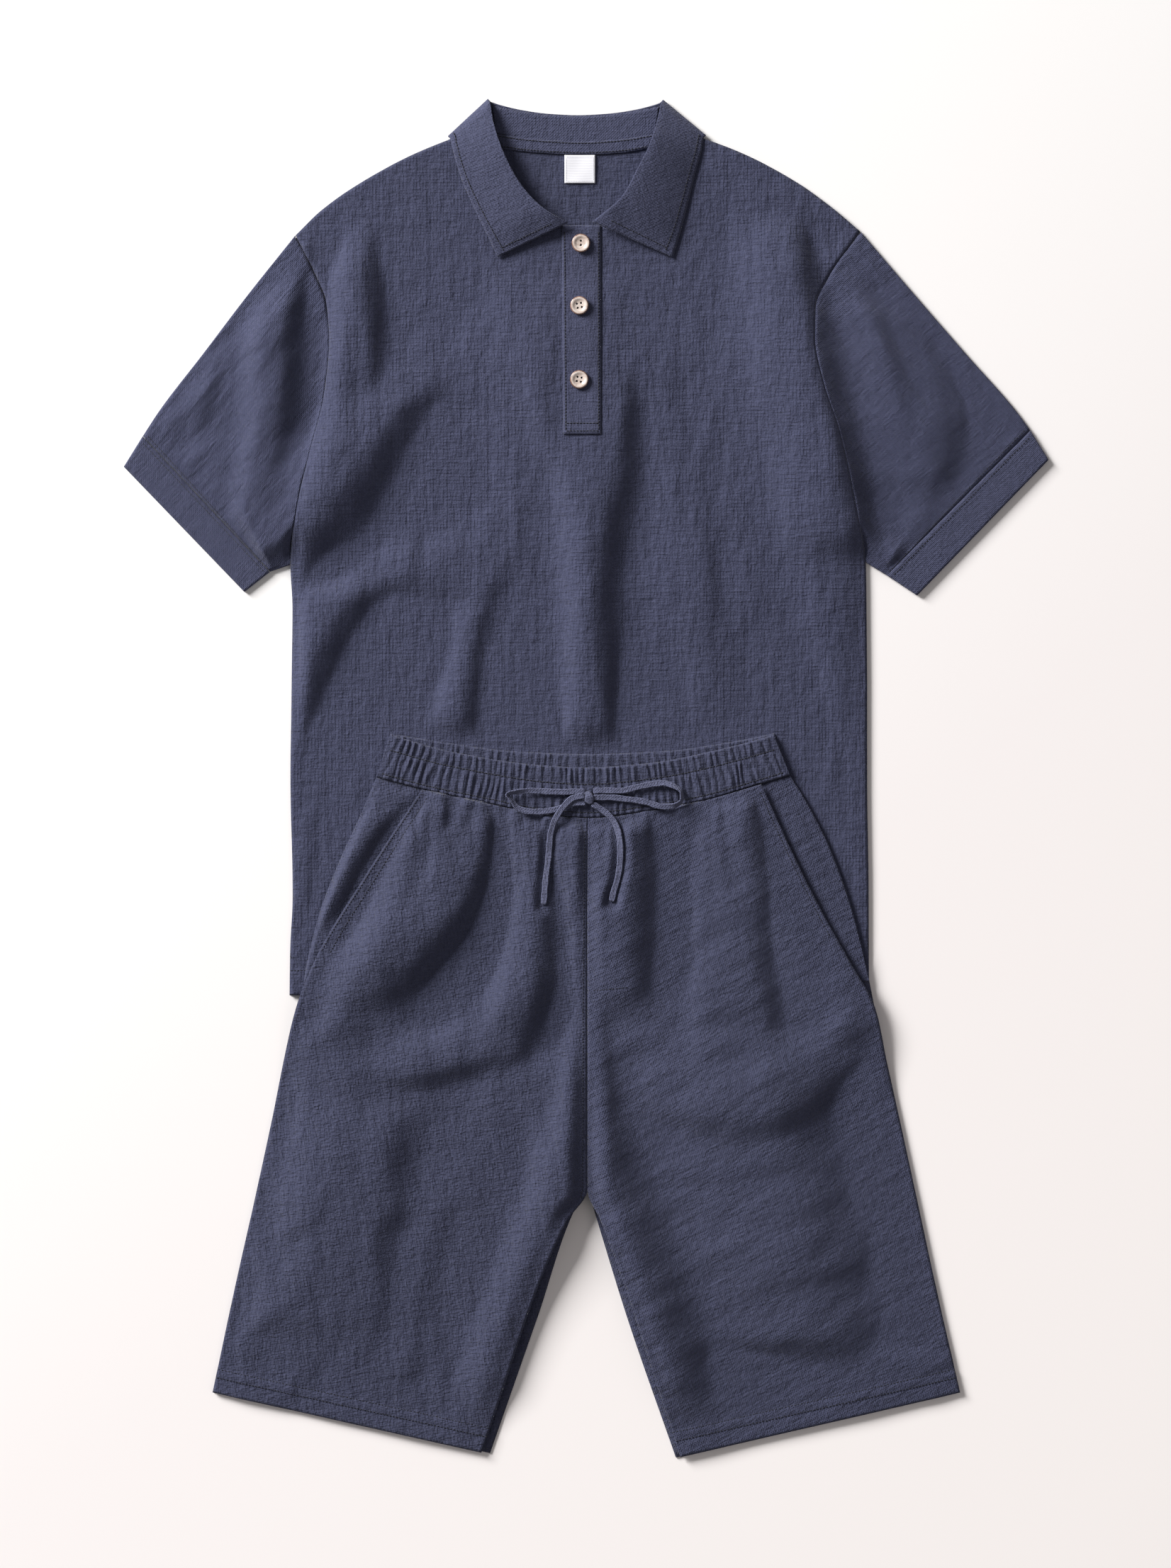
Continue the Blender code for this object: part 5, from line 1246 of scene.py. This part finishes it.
LEG_SIDE_RIGHT = ((264.2, -209.6), (275.9, -261.6), (287.6, -313.6), (304.5, -391.6), (321.4, -469.6),
                  (342.9, -563.6))
CENTRE_X = 1.4
CROTCH_Y = -377.0
INSEAM_FRONT_LEFT = ((-17.4, -406.0), (-95.8, -618.6))
INSEAM_FRONT_RIGHT = ((14.0, -406.0), (86.5, -622.8))
INSEAM_BACK_LEFT = ((-8.1, -391.6), (-44.5, -495.6), (-87.8, -619.5))
INSEAM_BACK_RIGHT = ((6.0, -391.6), (38.0, -495.6), (82.5, -623.5))
POCKET_TUCK = 10.0

# Upright folds of the shorts' fronts. Columns: y, x, half_width, steepness (below 0, falls left).
# The short ones at the top are gathers that run on below the waistband.
SHORTS_UPRIGHT_FOLDS = (
    ((-14, -143, 4, 0.9), (-36, -145, 5, 0.8), (-60, -149, 5, 0.3)),
    ((-18, -127, 4, 0.9), (-36, -129, 5, 0.9), (-58, -132, 5, 0.3)),
    ((-18, -111, 4, 0.9), (-40, -112, 5, 1.0), (-64, -114, 5, 0.3)),
    ((-20, -86, 6, 1.0), (-70, -89, 11, 1.3), (-108, -97, 17, 1.3), (-140, -115, 22, 1.3),
     (-172, -141, 22, 1.3), (-218, -176, 14, 0.6)),
    ((-24, -42, 4, 1.0), (-90, -38, 6, 1.0), (-125, -35, 13, 1.2), (-170, -34, 17, 1.4), (-215, -41, 16, 1.3),
     (-250, -56, 13, 1.0), (-280, -78, 10, 0.5)),
    ((-30, -158, 9, -0.5), (-90, -182, 19, -1.0), (-140, -203, 21, -1.1), (-195, -228, 18, -0.9),
     (-250, -248, 14, -0.5)),
    ((-30, -66, 7, -0.7), (-100, -68, 12, -1.1), (-150, -74, 14, -1.2), (-200, -84, 14, -1.1),
     (-245, -92, 11, -0.6)),
    ((-40, -136, 6, -0.7), (-80, -142, 9, -0.9), (-120, -152, 9, -0.5)),
    ((-240, -236, 26, -0.3), (-330, -256, 32, -0.5), (-430, -282, 32, -0.5), (-520, -300, 26, -0.4)),
    ((-60, -14, 8, -0.4), (-150, -12, 10, -0.6), (-250, -15, 12, -0.7), (-310, -27, 14, -0.9),
     (-360, -43, 17, -1.0), (-420, -63, 18, -1.0), (-490, -88, 18, -0.9), (-550, -108, 18, -0.9),
     (-606, -124, 15, -0.7)),
    ((-290, -150, 20, 0.4), (-345, -168, 22, 0.7), (-400, -178, 20, 0.6), (-480, -190, 16, 0.4),
     (-560, -206, 12, 0.3)),
    ((-370, -120, 12, 0.3), (-430, -136, 12, 0.5), (-500, -150, 11, 0.3), (-560, -158, 10, 0.2)),
    ((-380, -286, 10, 0.5), (-420, -296, 11, 0.5), (-500, -312, 10, 0.3)),
    ((-10, 57, 12, 1.2), (-70, 57, 23, 1.15), (-130, 56, 26, 1.1), (-175, 55, 23, 1.1), (-222, 54, 14, 0.7)),
    ((-190, 14, 8, 0.4), (-240, 14, 12, 0.9), (-300, 21, 19, 1.15), (-350, 35, 25, 1.15),
     (-405, 54, 28, 1.15), (-470, 78, 28, 1.15), (-530, 99, 27, 1.1), (-606, 120, 22, 0.9)),
    ((-40, 92, 8, -0.4), (-120, 94, 14, -0.6), (-200, 96, 15, -0.6), (-280, 100, 14, -0.4)),
    ((-6, 154, 9, 1.2), (-60, 161, 21, 1.25), (-110, 165, 24, 1.25), (-160, 168, 22, 1.2),
     (-210, 172, 16, 0.9), (-250, 176, 10, 0.4)),
    ((-220, 190, 36, 0.5), (-330, 214, 50, 0.75), (-430, 236, 54, 0.75), (-540, 258, 44, 0.6)),
    ((-30, 92, 4, 0.9), (-60, 93, 5, 0.9), (-86, 94, 5, 0.3)),
    ((-30, 22, 5, -0.7), (-70, 20, 8, -0.9), (-120, 17, 9, -0.6)),
    ((-26, 4, 4, 0.8), (-50, 5, 5, 0.6), (-80, 6, 5, 0.2)),
    ((-20, 122, 4, 0.8), (-60, 126, 6, 0.6), (-120, 132, 8, 0.3)),
    ((-18, 142, 4, 0.8), (-50, 144, 5, 0.5), (-80, 146, 5, 0.2)),
)
# Level folds of the shorts' fronts. Columns: x, y, half_width, steepness (below 0, falls up the leg).
SHORTS_LEVEL_FOLDS = (
    ((-206, -268, 9, 0.4), (-160, -279, 11, 0.9), (-110, -268, 12, 1.0), (-66, -256, 10, 0.6)),
    ((-190, -236, 12, -0.5), (-150, -238, 14, -0.8), (-100, -230, 13, -0.7)),
    ((-300, -588, 7, 0.3), (-270, -566, 9, 0.6), (-236, -540, 9, 0.4), (-216, -530, 8, 0.2)),
    ((-330, -520, 9, 0.2), (-290, -500, 10, 0.5), (-250, -478, 9, 0.3)),
    ((-300, -430, 9, 0.2), (-262, -414, 10, 0.5), (-225, -396, 9, 0.2)),
    ((-196, -410, 10, 0.3), (-170, -404, 12, 0.5), (-140, -396, 10, 0.2)),
    ((-190, -560, 9, 0.2), (-160, -548, 10, 0.4), (-130, -540, 9, 0.2)),
    ((40, -304, 11, 0.4), (80, -312, 13, 0.8), (140, -322, 15, 0.9), (175, -320, 16, 0.9),
     (205, -306, 15, 0.9), (235, -280, 13, 0.9), (268, -246, 10, 0.6)),
    ((90, -270, 13, -0.3), (160, -262, 15, -0.6), (215, -240, 15, -0.6), (252, -212, 12, -0.3)),
    ((60, -372, 8, 0.1), (130, -364, 10, 0.3), (220, -356, 10, 0.3), (300, -336, 9, 0.1)),
    ((90, -432, 9, -0.1), (170, -420, 11, -0.3), (250, -402, 11, -0.3), (312, -384, 9, -0.1)),
    ((110, -474, 8, 0.1), (190, -462, 10, 0.25), (280, -444, 10, 0.2), (318, -432, 9, 0.1)),
    ((120, -526, 9, 0.1), (200, -516, 11, 0.2), (290, -500, 11, 0.2), (330, -486, 9, 0.1)),
    ((250, -570, 9, 0.1), (300, -556, 10, 0.6), (336, -534, 9, 0.3)),
)
# Folds of the pocket facings. Columns: y, x, half_width, steepness.
FACING_FOLDS = (
    ((-14, -166, 7, 0.7), (-40, -181, 10, 1.3), (-70, -201, 11, 1.4), (-114, -224, 10, 1.3),
     (-150, -244, 7, 0.5)),
    ((-20, 196, 6, 0.2), (-70, 214, 7, 0.3), (-120, 234, 6, 0.2)),
)
FRONT_GATHERS, BACK_GATHERS = 54, 46
GATHER_HEIGHT = 2.6
FLY_FOOT_Y, HEM_MIDDLE_Y = -194.0, -618.8      # the fly's stitched foot, and the hem at the inseam
LEG_FRONT_LENGTH = 570.0      # along the middle of a front, from the band to the hem
HEM_SHARE = 0.9615            # where the hem's stitches are, as a share of that


def shorts_base(y):
    """The shorts lie on both layers of the shirt, and come down to the floor past its hem."""
    return SHIRT_STACK * ease((y - HEM_Y + 92.0) / 84.0)


def under_band(start_x, end_x):
    """The stretch of the waistband's foot between two x values, a seam gap below it."""
    band = edge(BAND_FOOT, "x")
    first, last = BAND_FOOT[0][0], BAND_FOOT[-1][0]

    def read(at):
        x = start_x + (end_x - start_x) * np.asarray(at)
        return band((x - first) / (last - first)) - (0.0, SEAM_GAP)
    return read


def waist_gathers(x, depth):
    """Small upright gathers that start under the waistband and die away down the front."""
    uneven = 2.2 * crumple(x, depth, 6.0, 70.0, 0.0, 161) + 3.2 * crumple(x, depth, 11.0, 110.0, 0.0, 162)
    return uneven * np.exp(-depth / (26.0 + 12.0 * np.sin(x / 13.0)))


def under_tails(x, y):
    """1 under the drawstring's tails and 0 clear of them: 4 mm to 11 mm off their middle lines."""
    near = np.zeros_like(x)
    for tail in (TAIL_LEFT, TAIL_RIGHT):
        places = np.array(tail)[::-1, :2]
        middle = np.interp(y, places[:, 1], places[:, 0])
        beside, above_end = (11.0 - np.abs(x - middle)) / 7.0, (y - places[0, 1] + 12.0) / 10.0
        near = np.maximum(near, ease(beside) * ease(above_end))
    return near


def shorts_front_under(x, y, share_out, share_down, seed, slant):
    """Underside of a front: over the back, up over the pocket facing and to the band, then folds.

    The folds fade at the outer edge, the band and the hem, and in part at the inseam. Under the
    drawstring's tails the cloth keeps within 2 mm below the tape.
    """
    opening = np.where(x > CENTRE_X, 2.8, 1.8)
    pocket = (PLY + opening) * (1.0 - ease((share_out - 0.13) / 0.2)) * ease((y + 300.0) / 96.0)
    waist = WAIST_SEAM_RISE * (1.0 - ease(share_down / 0.1))
    standing = 0.45 + 0.35 * ease((-376.0 - y) / 50.0)
    inside = ease(share_out / 0.11) * (standing + (1.0 - standing) * ease((1.0 - share_out) / 0.07))
    clear = inside * ease(share_down / 0.03) * (0.35 + 0.65 * ease((0.962 - share_down) / 0.09))
    small = ease(share_out / 0.03) * ease((1.0 - share_out) / 0.03) * ease((1.0 - share_down) / 0.012)
    calm_hem = 1.0 - 0.65 * ease((share_down - 0.955) / 0.01)
    puff = 3.2 + 3.4 * ease((-212.0 - y) / 70.0) * ease((0.96 - share_down) / 0.26)
    folds = clear * (puff + fold_height(y, x, SHORTS_UPRIGHT_FOLDS, 1.0) + swells(x, y)
                     + fold_height(x, y, SHORTS_LEVEL_FOLDS, -1.0))
    gathers = ease(share_down / 0.004) * small * waist_gathers(x, LEG_FRONT_LENGTH * share_down)
    tiny = small * calm_hem * ease(share_down / 0.02) * crinkles(x, y, slant, seed)
    hem = 0.7 * ease((share_down - HEM_SHARE) / 0.004)
    lift = at_least(folds + tiny + gathers + 0.3)
    room = tape_rest(x, y) - SHIRT_STACK - PLY - WALL - waist - LAYER_GAP
    tails = under_tails(x, y)
    lift = (1.0 - tails) * lift + tails * np.clip(lift, room - 2.0, room)
    return shorts_base(y) + PLY + np.maximum(pocket, waist) + lift + hem


class Leg:
    """The lines of one leg. Its shares across a grid run from left to right, on the right leg too."""

    def __init__(self, side):
        self.side, self.left = side, side == "left"
        self.hip = HIP_LEFT if self.left else HIP_RIGHT
        self.pocket = POCKET_LEFT if self.left else POCKET_RIGHT
        self.outer = LEG_SIDE_LEFT if self.left else LEG_SIDE_RIGHT
        self.centre_x = CENTRE_X + (-SEAM_GAP / 2 if self.left else SEAM_GAP / 2)
        self.slant = 8.0 if self.left else -62.0      # of the cloth's grain, in degrees

    def in_order(self, outer, inner):
        """From outer and inner to left and right, or back: the two change places on the right leg."""
        return (outer, inner) if self.left else (inner, outer)

    def across(self, share):
        """Shares counted from the outer edge, as shares from left to right, or the other way round."""
        return share if self.left else 1 - share[::-1]

    def top(self, outer_x, inner_x):
        """The band's foot between two x values, and its outer and inner end."""
        top = under_band(*self.in_order(outer_x, inner_x))
        return top, self.in_order(*(tuple(end) for end in top(np.array((0.0, 1.0)))))

    def panel(self, outer, inseam, across, down):
        """Blend of the waist, hem, outer and inner edges. The outer edge starts at the band."""
        top, (outer_top, centre_top) = self.top(outer[0][0], self.centre_x)
        centre = (centre_top, (self.centre_x, -150.0), (self.centre_x, -290.0), (self.centre_x, CROTCH_Y))
        edges = edge((outer_top,) + outer[1:], "y"), edge(centre + inseam, "y")
        hem = self.in_order(outer[-1], inseam[-1])
        return patch(top, straight(*hem), *self.in_order(*edges), self.across(across), down)


def shorts_back(leg):
    """Back of a leg: flat on what it lies on, faintly crinkled away from its edges."""
    across, down = shares(40), shares(80)
    inseam = INSEAM_BACK_LEFT if leg.left else INSEAM_BACK_RIGHT
    plan = leg.panel(leg.hip + leg.outer, inseam, across, down)
    x, y = plan[..., 0], plan[..., 1]
    calm = off_ends(across, 0.06, 0.06)
    calm = (calm if leg.left else calm[::-1])[None] * off_ends(down, 0.06, 0.02)[:, None]
    lift = at_least(0.35 * calm * crinkles(x, y, leg.slant, 101), soft=0.3)
    back = cloth_sheet(f"shorts_back_{leg.side}_gauze", plan, shorts_base(y) + lift, leg.across(across), down,
                       SHORTS_GAUZE, leg.slant)
    belongs(back.thing, "shorts_cloth", "shorts_back_" + leg.side)
    return back


def shorts_front(leg):
    """Front of a leg, with rows of its own for the hem's stitches."""
    across, down = shares(92), shares(214, (0.9595, HEM_SHARE, 0.9635, 0.975))
    inseam = INSEAM_FRONT_LEFT if leg.left else INSEAM_FRONT_RIGHT
    plan = leg.panel(leg.pocket + leg.outer, inseam, across, down)
    share = leg.across(across)
    share_out = share if leg.left else 1 - share
    under = shorts_front_under(plan[..., 0], plan[..., 1], share_out[None], down[:, None],
                               111 if leg.left else 131, leg.slant)
    front = cloth_sheet(f"shorts_front_{leg.side}_gauze", plan, under, share, down, SHORTS_GAUZE, leg.slant)
    belongs(front.thing, "shorts_cloth", "shorts_front_" + leg.side)
    return front


def pocket_facing(leg):
    """The facing between the hip and the pocket's opening, which it runs under by its tuck."""
    tuck = POCKET_TUCK if leg.left else -POCKET_TUCK
    top, (outer_top, inner_top) = leg.top(leg.hip[0][0], leg.pocket[0][0] + tuck)
    hip_foot = leg.hip[-1]
    foot = (hip_foot[0] + 0.5 * tuck, hip_foot[1])
    tucked = tuple((x + tuck, y) for x, y in leg.pocket[1:])
    edges = edge((outer_top,) + leg.hip[1:], "y"), edge((inner_top,) + tucked + (foot,), "y")
    across, down = shares(24), shares(76)
    plan = patch(top, straight(*leg.in_order(hip_foot, foot)), *leg.in_order(*edges), across, down)
    x, y = plan[..., 0], plan[..., 1]
    puff = 2.4 if leg.left else 0.3
    rolled = off_edges(across, down, (0.2, 0.4), (0.06, 0.1)) * (
        puff + fold_height(y, x, FACING_FOLDS, 1.0) + 0.5 * crinkles(x, y, leg.slant, 151))
    under = shorts_base(y) + PLY + at_least(rolled, soft=0.3)
    facing = cloth_sheet(f"pocket_facing_{leg.side}_gauze", plan, under, across, down, SHORTS_GAUZE,
                         leg.slant)
    belongs(facing.thing, "shorts_cloth", "pocket_facing_" + leg.side)
    return facing


def shorts_half(side):
    """Back, front and pocket facing of one leg."""
    leg = Leg(side)
    back, front, facing = shorts_back(leg), shorts_front(leg), pocket_facing(leg)
    declare_sheet(back)
    declare_sheet(front)
    declare_sheet(facing)
    return front


def gathered_band(name, node, top, foot, gathers, height, level, seed):
    """Elasticated band, a closed tube pressed flat whose upper face stands up in uneven gathers.

    Across the band each gather is a raised cosine, its place and height wandering along the band. Two
    sewn channels press them down, and both long edges round over like a fold.
    """
    share = np.linspace(0.0, 1.0, int(gathers * (11 if FINE == 1.0 else 6)) + 1)
    rows = np.union1d(np.linspace(0.0, 1.0, int(28 * max(FINE, 0.6))), (0.02, 0.05, 0.95, 0.98))
    plan = strip_plan(top, foot, share, rows)
    x, y = plan[..., 0], plan[..., 1]
    drift = 0.62 * crumple(x, y, 19.0, 60.0, 0.0, seed) + 0.34 * crumple(x, y, 8.0, 24.0, 0.0, seed + 1)
    phase = gathers * share[None] + drift
    fold = (0.5 - 0.5 * np.cos(math.tau * phase)) ** 0.8
    fine = 0.5 + 0.5 * np.cos(math.tau * (2.3 * phase + 0.3 * crumple(x, y, 9.0, 30.0, 0.0, seed + 2)))
    wander = 0.60 + 0.40 * crumple(x, y, 7.0, 12.0, 0.0, seed + 3)
    ends = off_ends(share, 0.02, 0.02)
    channel = 1.0 - 0.7 * np.exp(-((rows - 0.34) / 0.05) ** 2) - 0.5 * np.exp(-((rows - 0.9) / 0.05) ** 2)
    raised = height * channel[:, None] * (0.84 * fold + 0.16 * fine) * wander * ends[None]
    rim = np.sqrt(1.0 - (1.0 - np.clip(np.minimum(rows, 1.0 - rows) / 0.05, 0.0, 1.0)) ** 2)[:, None]
    upper = level + (BAND_WALL + raised) * (0.12 + 0.88 * rim)
    top_points = np.concatenate((plan, upper[..., None]), axis=-1)
    flat = np.full((2, len(share), 1), level)
    foot_points = np.concatenate((plan[[0, -1]], flat), axis=-1)
    ring = np.concatenate((foot_points[:1], top_points, foot_points[1:]), axis=0)
    ring = np.swapaxes(ring, 0, 1)[::-1]
    band = finish_mesh(name, ring.reshape(-1, 3), grid_faces(*ring.shape[:2], ring=True),
                       grain(ring[..., :2], 0.0), SHORTS_GAUZE)
    cap_ends(band)
    belongs(band, "shorts_cloth", node)
    return Sheet(band, share, rows, top_points)


def waistband():
    """Back face of the band on the shirt, and front face on the back's gathers."""
    back_level = SHIRT_STACK
    front_level = back_level + BAND_WALL + BACK_GATHER_HEIGHT + LAYER_GAP
    back = gathered_band("waistband_back_gauze", "waistband_back", BAND_BACK_TOP, BAND_FOOT, BACK_GATHERS,
                         BACK_GATHER_HEIGHT, back_level, 201)
    front = gathered_band("waistband_front_gauze", "waistband_front", BAND_FRONT_TOP, BAND_FOOT,
                          FRONT_GATHERS, GATHER_HEIGHT, front_level, 211)
    declare_sheet(back)
    declare_sheet(front)
    return front


# Put the set together

def sew_on_buttons(level):
    """Each button stands on the highest point of the placket under its rim."""
    rim = np.radians(np.arange(0.0, 360.0, 15.0))
    for number, (x, y, turn, holes) in enumerate(BUTTONS, 1):
        under = shirt_front_top(x + BUTTON_REST * np.cos(rim), y + BUTTON_REST * np.sin(rim))
        button(number, x, y, float(under.max()) + level - BUTTON_SINK, turn, holes)


front, shirt_hem_line = shirt_body()
sleeves = {side: sleeve(side) for side in SIDES}
fall = collar()
neck_tape, label = neck_trim()
placket_top, button_level = placket()
sew_on_buttons(button_level)
leg_fronts = {side: shorts_half(side) for side in SIDES}
band_front = waistband()


def sew_shirt():
    """Topstitching of the shirt. Each run goes between two places on a sheet, given as its shares."""
    runs = [line_on(front, 0.0, shirt_hem_line, 0.13, shirt_hem_line),
            line_on(front, 0.88, shirt_hem_line, 1.0, shirt_hem_line)]
    stitches("shirt_hem_stitches", runs, "shirt_cloth")
    for side in SIDES:
        tube, hem = sleeves[side]
        stitches(f"cuff_{side}_stitches", [line_on(hem, 0.02, 0.13, 0.98, 0.13),
                                           line_on(tube, 0.02, 0.985, 0.98, 0.985)], "shirt_cloth")
    rows = len(COLLAR_FALL) - 1.0
    leaf = 1.0 - 6.0 / 55.0      # 6 mm in from the edge of a leaf that is 55 mm wide
    stitches("collar_stitches", [line_on(fall, leaf, 0.004, leaf, LEFT_LEAF_END / rows),
                                 line_on(fall, leaf, RIGHT_LEAF_START / rows, leaf, 0.996),
                                 line_on(fall, 0.15, 0.012, leaf, 0.012),
                                 line_on(fall, 0.15, 0.988, leaf, 0.988)], "shirt_cloth",
             size=BOLD)
    stitches("neck_tape_stitches", [line_on(neck_tape, 0.01, 0.15, 0.99, 0.15),
                                    line_on(neck_tape, 0.01, 0.85, 0.99, 0.85)], "shirt_cloth",
             size=BOLD)
    inner_right = 1.0 - 2.4 / (PLACKET_RIGHT - PLACKET_LEFT)      # 2.4 mm in from its right edge
    box = 1.0 - 10.0 / (PLACKET_TOP - PLACKET_BOTTOM)             # 10 mm up from its foot
    stitches("placket_stitches", [line_on(placket_top, 0.07, 0.03, 0.07, 0.985),
                                  line_on(placket_top, inner_right, 0.03, inner_right, 0.985),
                                  line_on(placket_top, 0.07, box, inner_right, box),
                                  line_on(placket_top, 0.07, 0.985, inner_right, 0.985)], "shirt_cloth",
             size=BOLD)
    rim = ((0.06, 0.07), (0.94, 0.07), (0.94, 0.93), (0.06, 0.93), (0.06, 0.07))
    stitches("label_stitches", [line_on(label, *a, *b, raise_by=0.05) for a, b in zip(rim, rim[1:])],
             "label_cloth", LABEL_THREAD, pitch=1.5, size=0.5)


def sew_shorts():
    """Topstitching of the shorts, the waistband's two channels among it."""
    left_front, right_front = (leg_fronts[side] for side in SIDES)
    runs = [line_on(leg_front, 0.0, down, 1.0, down)
            for leg_front in (left_front, right_front) for down in (HEM_SHARE, 0.975)]
    stitches("leg_hem_stitches", runs, "shorts_cloth")
    runs = [line_on(left_front, 0.055, 0.01, 0.04, 0.27), line_on(left_front, 0.012, 0.01, 0.008, 0.27),
            line_on(right_front, 0.975, 0.01, 0.98, 0.25)]
    stitches("pocket_stitches", runs, "shorts_cloth")
    runs = [line_on(band_front, 0.01, 0.34, 0.99, 0.34), line_on(band_front, 0.01, 0.9, 0.99, 0.9)]
    stitches("waistband_stitches", runs, "shorts_cloth", size=BOLDEST)
    seam = line_on(left_front, 0.985, 0.02, 0.985, 0.6)
    band_y = BAND_FOOT[4][1]
    fly_down = (FLY_FOOT_Y - band_y) / (HEM_MIDDLE_Y - band_y)
    fly = line_on(right_front, 0.02, fly_down, 0.155, fly_down)
    stitches("centre_seam_stitches", [seam, fly], "shorts_cloth")


sew_shirt()
sew_shorts()


# Floor and light

FLOOR_REACH, FLOOR_LEVEL, FLOOR_POINTS = 6000.0, -0.25, 9


def make_floor():
    """A board just under the set, wide enough for every view."""
    steps = np.linspace(-FLOOR_REACH, FLOOR_REACH, FLOOR_POINTS)
    x, y = np.meshgrid(steps, steps)
    points = np.stack((x, y, np.full_like(x, FLOOR_LEVEL)), axis=-1).reshape(-1, 3)
    floor = finish_mesh("floor", points, grid_faces(FLOOR_POINTS, FLOOR_POINTS)[:, ::-1], None,
                        floor_tint_and_painted_light("matte white board"))


WORLD_STRENGTH = 0.23
# Lamps, square and turned to the origin. Columns: name, place and size (metres), power (watts), colour.
LAMPS = (
    ("window", (-5.2, 4.0, 3.0), 2.8, 1090.0, "#FFFEFD"),
    ("fill", (2.4, -1.8, 3.0), 2.0, 12.0, "#FFF4F2"),
)


def make_light():
    """Even studio light from all round, a low window at the upper left and a weak lamp against it."""
    world = bpy.data.worlds.new("studio")
    bpy.context.scene.world = world
    world.use_nodes = True
    sky = world.node_tree.nodes["Background"]
    sky.inputs["Color"].default_value = linear("#F4F2F2")
    sky.inputs["Strength"].default_value = WORLD_STRENGTH
    for name, place, size, energy, colour in LAMPS:
        lamp = bpy.data.lights.new(name, "AREA")
        lamp.shape, lamp.size, lamp.energy = "SQUARE", size, energy
        lamp.color = linear(colour)[:3]
        thing = bpy.data.objects.new(name, lamp)
        thing.location = place
        aim = -np.array(place) / np.linalg.norm(place)
        thing.rotation_euler = mathutils.Vector(aim).to_track_quat("-Z", "Y").to_euler()
        bpy.context.scene.collection.objects.link(thing)


make_floor()
make_light()
